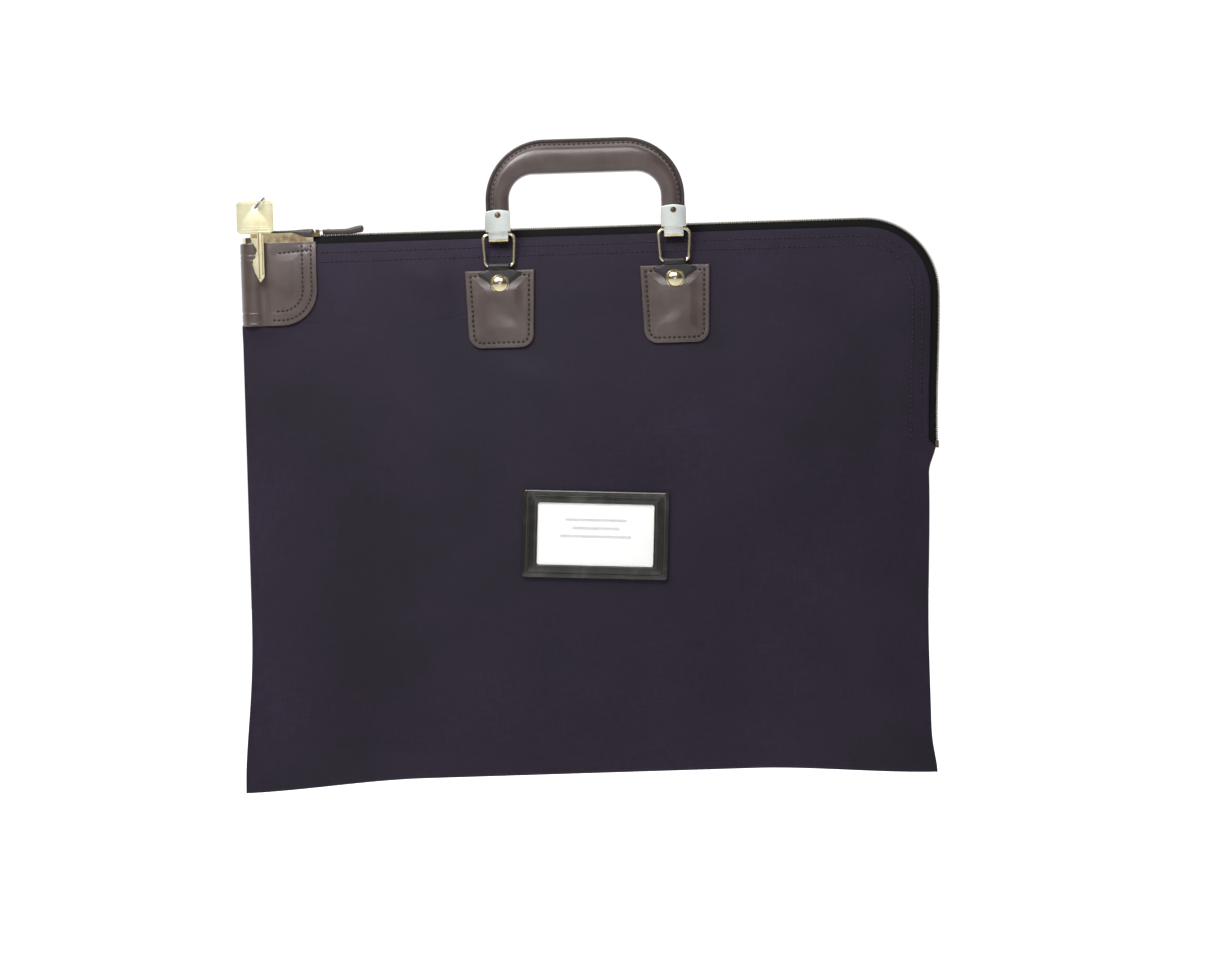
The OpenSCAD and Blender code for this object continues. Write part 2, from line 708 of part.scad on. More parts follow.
// A leather loop that stands on the tab's top edge and holds the ring's bottom bar.
module chape(side) color(dark_leather)
    translate([side * tab_x - chape_w / 2, ring_y, ring_z])
        rotate([90, 0, 90])
            difference() {
                cylinder(r = chape_r, h = chape_w);
                translate([0, 0, -1]) cylinder(r = wire_d / 2 + fit, h = chape_w + 2);
            }
module chape_left() framed() chape(-1);

module chape_right() framed() chape(1);

stem_r = 1.6;
dome_h = 3.6;
dome_y = -(half_gap(tab_x, dome_z - dome_r) + skin + tab_t);
module tab_rivets() framed() color(brass)
    for (side = [-1, 1])
        translate([side * tab_x, dome_y, dome_z])
            rotate([90, 0, 0]) {
                dome_ball = (dome_r * dome_r + dome_h * dome_h) / (2 * dome_h);
                intersection() {
                    translate([0, 0, dome_h - dome_ball]) sphere(r = dome_ball);
                    cylinder(r = dome_r, h = dome_h + 1);
                }
                translate([0, 0, -stem_l]) cylinder(r = stem_r, h = stem_l);
            }
washer_t = 0.8;
washer_r = 5;
stem_l = tab_t + skin + fabric_t + 3;
backing_w = 40;
backing_h = 34;
backing_y = -(half_gap(tab_x, dome_z) - fabric_t - 1.1);
module rivet_washers() framed() color(nickel)
    for (side = [-1, 1])
        translate([side * tab_x, backing_y + washer_t + 1.2, dome_z])
            rotate([90, 0, 0])
                difference() {
                    cylinder(r = washer_r, h = washer_t);
                    translate([0, 0, -1]) cylinder(r = stem_r + 0.02, h = 4);
                }

// Stiff patches inside the panel that spread the pull of the rivets.
module tab_backings() framed() color(dark_leather)
    for (side = [-1, 1])
        difference() {
            sheet([for (i = [0 : 4]) [for (j = [0 : 4])
                [side * tab_x + backing_w * (j / 4 - 0.5), dome_z + 4 + backing_h * (i / 4 - 1)]]],
                -1, -fabric_t - 1.1, -fabric_t - 0.1);
            through_dome(side, stem_r + 0.02);
        }

module ring(side) color(brass)
    translate([side * tab_x, ring_y, ring_z])
        wire_loop([[-ring_low_w / 2, 0], [ring_low_w / 2, 0],
            [ring_top_w / 2, ring_h], [-ring_top_w / 2, ring_h]], 4, wire_d);
module ring_left() framed() ring(-1);

module ring_right() framed() ring(1);

// ---- Handle ----

// Stations along the handle, each [outer x, outer z, inner x, inner z, half thickness], from
// one leg's end over the grip to the other. The corners are two arcs of their own radii.
function handle_half() =
    let (
        oc = [handle_w / 2 - outer_bend, handle_top_z - outer_bend],
        ic = [leg_in_x - inner_bend, handle_top_z - grip_h - inner_bend]
    )
    concat(
        [for (i = [0 : 3])
            let (t = i / 4)
            [handle_w / 2, mix(leg_low_z, oc[1], t), leg_in_x, mix(leg_low_z, ic[1], t), leg_t / 2]],
        [for (a = [0 : 15 : 90])
            [oc[0] + outer_bend * cos(a), oc[1] + outer_bend * sin(a),
                ic[0] + inner_bend * cos(a), ic[1] + inner_bend * sin(a),
                mix(leg_t, grip_t, smooth(a / 90)) / 2]],
        [for (i = [1 : 3])
            [oc[0] * (1 - i / 3), handle_top_z, ic[0] * (1 - i / 3), handle_top_z - grip_h, grip_t / 2]]
    );
function handle_path() =
    let (h = handle_half(), n = len(h))
    concat(h, [for (i = [n - 2 : -1 : 0]) [-h[i][0], h[i][1], -h[i][2], h[i][3], h[i][4]]]);

// The oval section at one station, drawn in by d all round.
function oval(s, d, outer_cut = flange_w) =
    let (
        o = [s[0], s[1]], i = [s[2], s[3]],
        along = (o - i) / norm(o - i),
        low = i + along * d,
        high = o - along * (outer_cut + d),
        mid = (low + high) / 2,
        half = norm(high - low) / 2
    )
    [for (k = [0 : handle_sides - 1])
        let (a = 360 * k / handle_sides, p = mid + along * half * cos(a))
        [p[0], (s[4] - d) * sin(a), p[1]]];

module solid_sweep(rings) {
    n = len(rings[0]);
    last = (len(rings) - 1) * n;
    polyhedron([for (r = rings, p = r) p],
        concat(
            [for (i = [0 : len(rings) - 2], j = [0 : n - 1])
                let (k = (j + 1) % n, a = i * n, b = a + n)
                each [[a + j, b + k, a + k], [a + j, b + j, b + k]]],
            [[for (j = [0 : n - 1]) j], [for (j = [n - 1 : -1 : 0]) last + j]]
        ), convexity = 6);
}

module hollow_sweep(outer, inner) {
    n = len(outer[0]);
    rows = len(outer);
    count = rows * n;
    last = (rows - 1) * n;
    polyhedron(concat([for (r = outer, p = r) p], [for (r = inner, p = r) p]),
        concat(
            [for (i = [0 : rows - 2], j = [0 : n - 1])
                let (k = (j + 1) % n, a = i * n, b = a + n, c = count)
                each [[a + j, b + k, a + k], [a + j, b + j, b + k],
                    [c + a + j, c + a + k, c + b + k], [c + a + j, c + b + k, c + b + j]]],
            [for (j = [0 : n - 1])
                let (k = (j + 1) % n, e = last)
                each [[j, k, count + k], [j, count + k, count + j],
                    [e + j, count + e + k, e + k], [e + j, count + e + j, count + e + k]]]
        ), convexity = 8);
}

// The steel strip inside the handle, grown by spare all round.
core_t = 1.6;
core_half = 4;
module core_strip(spare)
    solid_sweep([for (s = handle_path())
        let (
            o = [s[0], s[1]], i = [s[2], s[3]], along = (o - i) / norm(o - i),
            mid = (i + o - along * flange_w) / 2,
            a = mid - (core_half + spare) * along, b = mid + (core_half + spare) * along,
            y = core_t / 2 + spare
        )
        [[b[0], -y, b[1]], [b[0], y, b[1]], [a[0], y, a[1]], [a[0], -y, a[1]]]]);

module handle_core() framed() translate([0, ring_y, 0]) color(nickel)
    difference() {
        core_strip(0);
        collar_holes(pin_r + 0.02);
    }

module handle_padding() framed() translate([0, ring_y, 0]) color([0.75, 0.72, 0.6])
    difference() {
        path = handle_path();
        solid_sweep([for (i = [3 : len(path) - 4]) oval(path[i], cover_t + 0.1)]);
        core_strip(0.1);
    }
module handle_cover() framed() translate([0, ring_y, 0]) color(leather)
    difference() {
        hollow_sweep([for (s = handle_path()) oval(s, 0)], [for (s = handle_path()) oval(s, cover_t)]);
        collar_holes(pin_r + 0.02);
    }

flange_t = 2.6;
module handle_flange() framed() translate([0, ring_y, 0]) color(dark_leather)
    solid_sweep([for (s = handle_path())
        let (o = [s[0], s[1]], i = [s[2], s[3]], along = (o - i) / norm(o - i), q = o - along * (flange_w - 0.1))
        [[o[0], -flange_t / 2, o[1]], [o[0], flange_t / 2, o[1]], [q[0], flange_t / 2, q[1]], [q[0], -flange_t / 2, q[1]]]]);

pin_r = 1.1;
module collar_holes(r)
    for (side = [-1, 1])
        translate([side * leg_x, 0, collar_pin_z]) rotate([90, 0, 0]) cylinder(r = r, h = 40, center = true);

// A folded collar: a box round the leather's end and a narrower tongue that wraps the ring.
tongue_w = 14;
tongue_d = 5;
tongue_drop = 6;
module collar(side) color(nickel)
    translate([side * leg_x, 0, ring_top_z])
        difference() {
            union() {
                translate([-collar_w / 2, -collar_d / 2, collar_low_z - ring_top_z])
                    cube([collar_w, collar_d, collar_h]);
                translate([-tongue_w / 2, -tongue_d / 2, -tongue_drop + tongue_d / 2])
                    cube([tongue_w, tongue_d, tongue_drop - tongue_d / 2 + collar_low_z - ring_top_z]);
                translate([-tongue_w / 2, 0, -tongue_drop + tongue_d / 2])
                    rotate([0, 90, 0]) cylinder(d = tongue_d, h = tongue_w);
            }
            translate([-collar_w / 2 + collar_t, -collar_d / 2 + collar_t, collar_low_z - ring_top_z + 1])
                cube([collar_w - 2 * collar_t, collar_d - 2 * collar_t, collar_h]);
            translate([-tongue_w, 0, 0]) rotate([0, 90, 0]) cylinder(r = wire_d / 2 + fit + 0.04, h = 2 * tongue_w);
            translate([0, 0, collar_pin_z - ring_top_z])
                rotate([90, 0, 0]) cylinder(r = pin_r + 0.02, h = 40, center = true);
        }
module collar_left() framed() translate([0, ring_y, 0]) collar(-1);

module collar_right() framed() translate([0, ring_y, 0]) collar(1);

module collar_rivets() framed() translate([0, ring_y, 0]) color(brass)
    for (side = [-1, 1])
        translate([side * leg_x, 0, collar_pin_z])
            rotate([90, 0, 0]) {
                cylinder(r = pin_r, h = collar_d, center = true);
                for (end = [0, 180])
                    rotate([end, 0, 0])
                        translate([0, 0, collar_d / 2]) intersection() {
                            translate([0, 0, -1.3]) sphere(r = 2.3);
                            cylinder(r = 2.2, h = 2);
                        }
            }

// ---- Card window ----

module on_window(depth) framed()
    translate([0, window_y - depth, window_z]) rotate([0, window_tilt, 0]) children();

module window_backing() on_window(0) color(vinyl) slab(window_w, window_h, backing_t, 2);

// The frame: a plate with an opening, over a spacer on three sides that leaves the right
// side open for the card.
spacer_low = backing_t + 0.01;
module window_frame() on_window(spacer_low) color(vinyl) {
    spacer_t = pocket_t + pane_t;
    difference() {
        slab(window_w, window_h, spacer_t, 2);
        translate([-card_w / 2 - 0.4, 1, -card_h / 2 - 0.4])
            rotate([90, 0, 0]) translate([0, 0, -1]) linear_extrude(spacer_t + 4)
                square([window_w, card_h + 0.8]);
    }
    translate([0, -spacer_t, 0]) difference() {
        slab(window_w, window_h, frame_t, 2);
        translate([0, 2, 0]) slab(opening_w, opening_h, frame_t + 4, 1);
    }
}

module window_pane() on_window(spacer_low + pocket_t) color([0.9, 0.95, 0.95, 0.3])
    slab(card_w, card_h, pane_t - 0.02, 1);

module window_card() on_window(spacer_low + 0.1) color([0.98, 0.98, 0.97])
    slab(card_w, card_h, pocket_t - 0.2, 0.5);

front_panel();
back_panel();
seam_binding();
zipper_tape_front();
zipper_tape_back();
zipper_chain();
zipper_top_stop();
zipper_end_stop();
corner_patch_front();
corner_patch_back();
corner_roll();
lock_case();
lock_rail();
lock_strap();
lock_barrel();
lock_plug();
plug_cam();
lock_wafers();
lock_bolt();
bolt_spring();
slider_body();
slider_hasp();
pull_link();
pull_tab();
pull_rivet();
key();
key_ring();
tab_left();
tab_right();
chape_left();
chape_right();
tab_rivets();
rivet_washers();
tab_backings();
ring_left();
ring_right();
handle_core();
handle_padding();
handle_cover();
handle_flange();
collar_left();
collar_right();
collar_rivets();
window_backing();
window_frame();
window_pane();
window_card();
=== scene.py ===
"""A flat locking cash bag: nylon panels, a zipper, a leather lock corner, a padded handle.

All sizes inside the classes are in millimetres, with x from the bag's middle, z up from the
bottom seam and y from the bag's middle plane, negative in front. Place turns them into metres
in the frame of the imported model.
"""
from __future__ import annotations

import json
import logging
import math
from dataclasses import dataclass
from enum import Enum
from typing import Callable, Sequence

import bmesh
import bpy
import numpy as np
from mathutils import Matrix, Vector

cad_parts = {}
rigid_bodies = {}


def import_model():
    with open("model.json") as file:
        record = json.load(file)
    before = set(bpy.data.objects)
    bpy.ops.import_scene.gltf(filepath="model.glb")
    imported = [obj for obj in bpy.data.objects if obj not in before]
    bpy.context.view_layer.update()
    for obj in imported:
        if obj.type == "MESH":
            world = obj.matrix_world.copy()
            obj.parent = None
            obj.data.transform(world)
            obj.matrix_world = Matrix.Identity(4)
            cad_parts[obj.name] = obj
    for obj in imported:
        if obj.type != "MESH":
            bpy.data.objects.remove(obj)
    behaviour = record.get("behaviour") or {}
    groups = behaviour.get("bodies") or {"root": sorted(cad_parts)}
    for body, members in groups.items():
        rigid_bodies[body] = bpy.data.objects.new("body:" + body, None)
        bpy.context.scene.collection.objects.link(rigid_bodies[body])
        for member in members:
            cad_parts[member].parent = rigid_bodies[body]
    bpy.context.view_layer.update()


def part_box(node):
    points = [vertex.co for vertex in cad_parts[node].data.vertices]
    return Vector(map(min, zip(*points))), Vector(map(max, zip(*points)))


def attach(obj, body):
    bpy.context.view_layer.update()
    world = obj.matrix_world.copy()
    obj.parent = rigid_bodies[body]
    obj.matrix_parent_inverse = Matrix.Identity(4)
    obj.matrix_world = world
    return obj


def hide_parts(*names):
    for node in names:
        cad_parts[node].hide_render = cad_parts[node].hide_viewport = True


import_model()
log = logging.getLogger("cash_bag")
Array = np.ndarray


# ---------------------------------------------------------------- numbers and places


def smooth(t: Array) -> Array:
    """Smooth step: 3t^2 - 2t^3 with t held between 0 and 1."""
    c = np.clip(t, 0.0, 1.0)
    return c * c * (3 - 2 * c)


def mix(a: Array | float, b: Array | float, t: Array | float) -> Array | float:
    """Straight blend from a to b as t goes from 0 to 1."""
    return a + (b - a) * t


def round_the_clock(n: int) -> Array:
    """n angles evenly round a circle, from 0."""
    return np.arange(n) * 2 * np.pi / n


def keep_sign(v: Array, power: float) -> Array:
    """v raised to a power, with its sign kept."""
    return np.sign(v) * np.abs(v) ** power


def places(x: Array | float, y: Array | float, z: Array | float) -> Array:
    """Places (..., 3) from three arrays that are spread to one shape."""
    return np.stack(np.broadcast_arrays(x, y, z), -1)


def bump(x: Array, z: Array, cx: float, cz: float, rx: float, rz: float, turn: float = 0.0) -> Array:
    """A smooth mound: exp(-(u^2 + v^2)) with u and v along axes turned by turn degrees.

    Args:
        x, z: places on the panel.
        cx, cz: the mound's middle.
        rx, rz: its radii.
        turn: the angle of its long axis.

    Returns:
        Heights from 0 to 1.
    """
    a = math.radians(turn)
    u = ((x - cx) * math.cos(a) + (z - cz) * math.sin(a)) / rx
    v = (-(x - cx) * math.sin(a) + (z - cz) * math.cos(a)) / rz
    return np.exp(-(u * u + v * v))


@dataclass(frozen=True)
class Place:
    """Turns the bag's own millimetres into the frame's metres.

    The chain's box gives the middle plane and the height of the zipper.
    """

    chain_top: float = 401.4

    def __call__(self, points: Array) -> Array:
        """Points in metres: scaled, then moved so that the chain meets its CAD node."""
        low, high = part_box("zipper_chain")
        shift = np.array([0.0, (low[1] + high[1]) / 2, high[2] - self.chain_top / 1000])
        return np.asarray(points, float) / 1000 + shift


PLACE = Place()


@dataclass(frozen=True)
class BagShape:
    """The rules of the bag's outline and of its thickness."""

    half_w: float = 254.0
    hem_z: float = 394.4
    corner_r: float = 48.0
    zip_end_z: float = 236.0
    bulge: float = 15.0
    zip_inset: float = 2.8
    zip_lean: float = 4.7
    seam_half: float = 0.96
    zip_half: float = 3.1
    lock_x: float = -245.0
    lock_room: float = 2.6
    patch_low: float = 335.0
    low_inset: float = 2.3
    waist: float = 5.7
    sag: float = 4.0
    toe: float = 3.4
    flare: float = 5.2

    def left(self, z: Array) -> Array:
        """Left edge: leans out by up to 8 mm towards the bottom corner."""
        return -self.half_w - 8 * (1 - smooth(z / 150)) ** 2

    def right(self, z: Array) -> Array:
        """Right edge: a round top, a lean in to the zipper's end, then out by the flare.

        Below that it draws in by the waist and the sag, and comes out by the toe at the bottom.
        """
        z = np.asarray(z, float)
        below = self.zip_end_z - z
        middle_z = self.hem_z - self.corner_r
        bend = np.sqrt(np.maximum(0, self.corner_r**2 - np.maximum(0, z - middle_z) ** 2))
        round_top = self.half_w - self.zip_inset - self.corner_r + bend
        lower = self.half_w - self.low_inset - self.waist * smooth(below / 22)
        lower = lower - self.sag * smooth((below - 20) / 130) + self.toe * (1 - smooth(z / 40)) ** 2
        step_out = self.beside_zip(self.zip_end_z) + self.flare * smooth((below + 1.5) / 5)
        under_corner = np.where(z > self.zip_end_z, self.beside_zip(z), np.minimum(lower, step_out))
        return np.where(z > middle_z, round_top, under_corner)

    def beside_zip(self, z: Array) -> Array:
        """The cloth's edge along the right side of the zipper."""
        rise = (np.asarray(z, float) - self.zip_end_z) / 115
        return self.half_w - self.zip_inset - self.zip_lean * (1 - smooth(rise))

    def seam(self, x: Array) -> Array:
        """Height of the bottom seam: level, drooping 7 mm at both corners."""
        return -7 * smooth((np.abs(x + 10) - 120) / 140)

    def half_gap(self, x: Array, z: Array) -> Array:
        """Half the bag's thickness: (1-|u|^2.4)(1-|v|^2.2) to the power 0.75, over its edges."""
        x, z = np.asarray(x, float), np.asarray(z, float)
        left, right = self.left(z), self.right(z)
        right = np.maximum(left + 1, right)
        u = np.clip((2 * x - left - right) / (right - left), -1, 1)
        v = np.clip(2 * z / self.hem_z - 1, -1, 1)
        belly = np.maximum(0, 1 - np.abs(u) ** 2.4) * np.maximum(0, 1 - np.abs(v) ** 2.2)
        side = smooth((x - self.half_w + 90) / 80) * smooth((z - self.zip_end_z + 26) / 26)
        zip_share = np.maximum(smooth((z - self.hem_z + 70) / 60), side)
        lock = np.exp(-(((x - self.lock_x) / 19) ** 2)) * smooth((z - self.patch_low + 16) / 16)
        rim = self.seam_half + (self.zip_half - self.seam_half) * zip_share
        return rim + self.bulge * belly**0.75 + self.lock_room * lock

    def edge_path(self, start: float, end_z: float, step: float) -> tuple[Array, Array]:
        """The zipper's line along the hem, round the corner and down the right side.

        Args:
            start: the x where it begins.
            end_z: the height where it ends.
            step: the spacing of its points.

        Returns:
            Points (n, 2) of x and z, and outward normals (n, 2).
        """
        full = self.half_w - self.zip_inset
        cx, cz = full - self.corner_r, self.hem_z - self.corner_r
        top, bend = cx - start, self.corner_r * math.pi / 2
        total = top + bend + cz - end_z
        s = np.linspace(0, total, int(total / step) + 1)
        on_top, on_side = s < top, s > top + bend
        angle = np.pi / 2 - np.clip((s - top) / self.corner_r, 0, np.pi / 2)
        z_side = cz - np.maximum(0, s - top - bend)
        x = np.where(on_top, start + s, cx + self.corner_r * np.cos(angle))
        x = np.where(on_side, self.beside_zip(z_side), x)
        z = np.where(on_top, self.hem_z, np.where(on_side, z_side, cz + self.corner_r * np.sin(angle)))
        return np.stack([x, z], 1), np.stack([np.cos(angle), np.sin(angle)], 1)


SHAPE = BagShape()


# ---------------------------------------------------------------- meshes


def make_mesh(name: str, points: Array, faces: Sequence[Sequence[int]]) -> bpy.types.Object:
    """A smoothly shaded mesh object at the origin from millimetre points and faces.

    Args:
        name: the piece's name.
        points: (n, 3) places in the bag's millimetres.
        faces: vertex numbers of each face, seen anticlockwise from outside.

    Returns:
        The new object.
    """
    data = bpy.data.meshes.new(name)
    data.from_pydata(PLACE(points).tolist(), [], [list(map(int, f)) for f in faces])
    data.validate()
    data.polygons.foreach_set("use_smooth", [True] * len(data.polygons))
    made = bpy.data.objects.new(name, data)
    bpy.context.scene.collection.objects.link(made)
    return made


def grid_faces(rows: int, cols: int, close_rows: bool = False, close_cols: bool = False) -> Array:
    """Quads of a grid: each joins a place to the next along the row and the next row.

    Args:
        rows, cols: the grid's size.
        close_rows: joins the last row to the first.
        close_cols: joins the last column to the first.

    Returns:
        (n, 4) vertex numbers.
    """
    i = np.arange(rows if close_rows else rows - 1)[:, None]
    j = np.arange(cols if close_cols else cols - 1)[None, :]
    ni, nj = (i + 1) % rows, (j + 1) % cols
    quad = np.stack([i * cols + j, i * cols + nj, ni * cols + nj, ni * cols + j], -1)
    return quad.reshape(-1, 4)


def tube_mesh(name: str, rings: Array) -> bpy.types.Object:
    """A closed tube through rings (rows, sides, 3), with a fan over a middle point at each end."""
    rows, sides = rings.shape[:2]
    last, low_middle, high_middle = (rows - 1) * sides, rows * sides, rows * sides + 1
    points = np.vstack([rings.reshape(-1, 3), rings[0].mean(0), rings[-1].mean(0)])
    faces = [tuple(f) for f in grid_faces(rows, sides, close_cols=True)]
    faces += [(low_middle, (j + 1) % sides, j) for j in range(sides)]
    faces += [(high_middle, last + j, last + (j + 1) % sides) for j in range(sides)]
    return make_mesh(name, points, faces)


def loop_mesh(name: str, rings: Array) -> bpy.types.Object:
    """A tube whose last ring joins its first: rings (rows, sides, 3)."""
    return make_mesh(name, rings.reshape(-1, 3), grid_faces(*rings.shape[:2], True, True))


def outward(piece: bpy.types.Object) -> bpy.types.Object:
    """Turns every face of a closed piece to point outwards."""
    work = bmesh.new()
    work.from_mesh(piece.data)
    bmesh.ops.remove_doubles(work, verts=work.verts, dist=1e-7)
    bmesh.ops.recalc_face_normals(work, faces=work.faces)
    work.to_mesh(piece.data)
    work.free()
    return piece


def join(name: str, pieces: Sequence[bpy.types.Object]) -> bpy.types.Object:
    """One object from several, with their modifiers applied first."""
    depsgraph = bpy.context.evaluated_depsgraph_get()
    work = bmesh.new()
    for p in pieces:
        work.from_mesh(bpy.data.meshes.new_from_object(p.evaluated_get(depsgraph)))
    data = bpy.data.meshes.new(name)
    work.to_mesh(data)
    work.free()
    data.polygons.foreach_set("use_smooth", [True] * len(data.polygons))
    made = bpy.data.objects.new(name, data)
    bpy.context.scene.collection.objects.link(made)
    for p in pieces:
        bpy.data.objects.remove(p)
    return made


def resample(path: Array, step: float, closed: bool = False) -> Array:
    """Points spaced evenly along a polyline by its arc length."""
    if closed:
        path = np.vstack([path, path[:1]])
    s = np.r_[0, np.cumsum(np.linalg.norm(np.diff(path, axis=0), axis=1))]
    count = max(2, int(round(s[-1] / step)))
    at = np.linspace(0, s[-1], count + 1)[: count if closed else None]
    return np.stack([np.interp(at, s, path[:, k]) for k in range(path.shape[1])], 1)


def normals_2d(path: Array, closed: bool) -> Array:
    """Unit normals of a plane path, to the right of its direction."""
    along = np.roll(path, -1, 0) - np.roll(path, 1, 0) if closed else np.gradient(path, axis=0)
    along /= np.linalg.norm(along, axis=1, keepdims=True) + 1e-12
    return np.stack([along[:, 1], -along[:, 0]], 1)


def stitches(
    name: str, path: Array, up: Array, length: float, pitch: float, r: float, sink: float
) -> bpy.types.Object:
    """A row of thread stitches: short capsules laid along a path, all made as one array.

    Args:
        name: the piece's name.
        path: (n, 3) places along the seam, in millimetres.
        up: (n, 3) or (3,) directions out of the surface.
        length: one stitch's length.
        pitch: from one stitch to the next.
        r: the thread's radius.
        sink: how far the thread sinks into the surface.

    Returns:
        One object with every stitch.
    """
    both = np.hstack([path, np.broadcast_to(up, path.shape)])
    s = np.r_[0, np.cumsum(np.linalg.norm(np.diff(path, axis=0), axis=1))]

    def along_path(q: Array) -> Array:
        """The path's places and the directions out of the surface, at arc lengths q."""
        return np.stack([np.interp(q, s, both[:, k]) for k in range(6)], 1)

    at = np.arange(pitch / 2, s[-1], pitch)
    mid = along_path(at)
    head = along_path(np.minimum(at + 0.4, s[-1]))[:, :3] - along_path(np.maximum(at - 0.4, 0))[:, :3]
    along = head / (np.linalg.norm(head, axis=1, keepdims=True) + 1e-12)
    out = mid[:, 3:] / (np.linalg.norm(mid[:, 3:], axis=1, keepdims=True) + 1e-12)
    side = np.cross(along, out)
    station = np.array([-0.5, -0.36, 0.0, 0.36, 0.5]) * length
    radius = np.array([0.25, 0.85, 1.0, 0.85, 0.25]) * r
    lift = np.array([-0.55, 0.1, 0.25, 0.1, -0.55]) * r - sink
    a = round_the_clock(6)
    up_by, aside_by = lift[:, None] + radius[:, None] * np.sin(a), radius[:, None] * np.cos(a)
    ring = (
        mid[:, None, None, :3]
        + along[:, None, None] * station[:, None, None]
        + out[:, None, None] * up_by[..., None]
        + side[:, None, None] * aside_by[..., None]
    )
    count = len(at)
    points = ring.reshape(count, 30, 3)
    one = [tuple(f) for f in grid_faces(5, 6, close_cols=True)]
    one += [tuple(range(5, -1, -1)), tuple(range(24, 30))]
    faces = [tuple(v + 30 * k for v in f) for k in range(count) for f in one]
    return outward(make_mesh(name, points.reshape(-1, 3), faces))


def on_panel(xz: Array, side: int, lift: Array | float) -> Array:
    """Places on the bag's surface, lifted off it: y is side times (half gap + lift)."""
    x, z = xz[..., 0], xz[..., 1]
    return np.stack([x, side * (SHAPE.half_gap(x, z) + lift), z], -1)


def patch(
    name: str, outline: Array, side: int, thick: float, edge: float, base: float,
    relief: Callable[[Array], Array], rings: int,
) -> bpy.types.Object:
    """A leather patch on the panel: rings shrink from its outline to its middle.

    The first rings go up a quarter circle of radius edge, and the rest cross the top.

    Args:
        name: the piece's name.
        outline: (n, 2) x and z round the patch, clockwise seen from the front.
        side: -1 on the front panel, 1 on the back one.
        thick: the leather's thickness.
        edge: radius of the rounded edge.
        base: height of its lower face above the panel's surface.
        relief: extra height at (..., 2) places.
        rings: number of rings across the top.

    Returns:
        The patch.
    """
    mid = outline.mean(0)
    n_out = -normals_2d(outline, True)
    if np.sum((outline - mid) * n_out) < 0:
        n_out = -n_out
    inner = outline - n_out * edge
    rows, heights = [mid + 1e-4 * (outline - mid), mid + (inner - mid) * 0.5], [0.0, 0.0]
    for a in (-np.pi / 2, -np.pi / 4, *np.linspace(0, np.pi / 2, 6)):
        r = edge if a >= 0 else min(edge, 0.5)
        rows.append(outline - n_out * r * (1 - np.cos(a)))
        heights.append(0.3 * (1 + np.sin(a)) if a < 0 else thick - edge + edge * np.sin(a))
    for k in range(1, rings + 1):
        rows.append(mid + (inner - mid) * max(1 - (k / rings) ** 0.9, 1e-4))
        heights.append(thick)
    xz = np.stack(rows)
    lift = base + np.array(heights)[:, None] + np.zeros(len(outline))
    lift = lift + np.where(lift >= base + thick - edge * 0.5, relief(xz), 0)
    return outward(tube_mesh(name, on_panel(xz, side, lift)))


def arc(cx: float, cz: float, r: float, start: float, end: float, n: int) -> Array:
    """Points on a circle from the angle start to the angle end, in degrees."""
    a = np.radians(np.linspace(start, end, n))
    return np.stack([cx + r * np.cos(a), cz + r * np.sin(a)], 1)


def wire(name: str, path: Array, r: float, sides: int) -> bpy.types.Object:
    """Round wire along a closed path in one plane of constant y: a circle is carried round it."""
    flat = normals_2d(path[:, [0, 2]], True)
    a = round_the_clock(sides)[:, None]
    out = places(flat[:, 0], 0.0, flat[:, 1])[:, None]
    circle = np.cos(a) * out + np.sin(a) * np.array([0.0, 1.0, 0.0])
    return outward(loop_mesh(name, path[:, None] + r * circle))


def round_wire(name: str, path: Array, r: float, sides: int) -> bpy.types.Object:
    """Round wire along an open path in space, its frame carried by a fixed reference direction."""
    along = np.gradient(path, axis=0)
    along /= np.linalg.norm(along, axis=1, keepdims=True)
    one = np.cross(along, np.array([0.62, 0.13, -0.77]))
    one /= np.linalg.norm(one, axis=1, keepdims=True)
    two = np.cross(along, one)
    a = round_the_clock(sides)[:, None]
    return outward(tube_mesh(name, path[:, None] + r * (np.cos(a) * one[:, None] + np.sin(a) * two[:, None])))


# ---------------------------------------------------------------- shader maths


class Value:
    """A number socket in a material, with Python operators that add Math nodes."""

    def __init__(self, tree: Tree, socket: bpy.types.NodeSocket) -> None:
        """Wraps one output socket of a tree."""
        self.tree, self.socket = tree, socket

    def _do(self, operation: str, *values: Value | float) -> Value:
        """Adds one Math node."""
        return self.tree.add("ShaderNodeMath", {"operation": operation}, dict(enumerate(values)))

    def __add__(self, other: Value | float) -> Value:
        """Sum."""
        return self._do("ADD", self, other)

    __radd__ = __add__

    def __sub__(self, other: Value | float) -> Value:
        """Difference."""
        return self._do("SUBTRACT", self, other)

    def __rsub__(self, other: Value | float) -> Value:
        """Difference, reflected."""
        return self._do("SUBTRACT", other, self)

    def __mul__(self, other: Value | float) -> Value:
        """Product."""
        return self._do("MULTIPLY", self, other)

    __rmul__ = __mul__

    def beside(self, out: str) -> Value:
        """Another output of the same node."""
        return Value(self.tree, self.socket.node.outputs[out])

    def sin(self) -> Value:
        """Sine of the value in radians."""
        return self._do("SINE", self)

    def above(self, low: float, high: float) -> Value:
        """0 below low, 1 over high and a smooth step between them."""
        steps = {0: self, 1: low, 2: high, 3: 0.0, 4: 1.0}
        return self.tree.add("ShaderNodeMapRange", {"interpolation_type": "SMOOTHSTEP"}, steps)


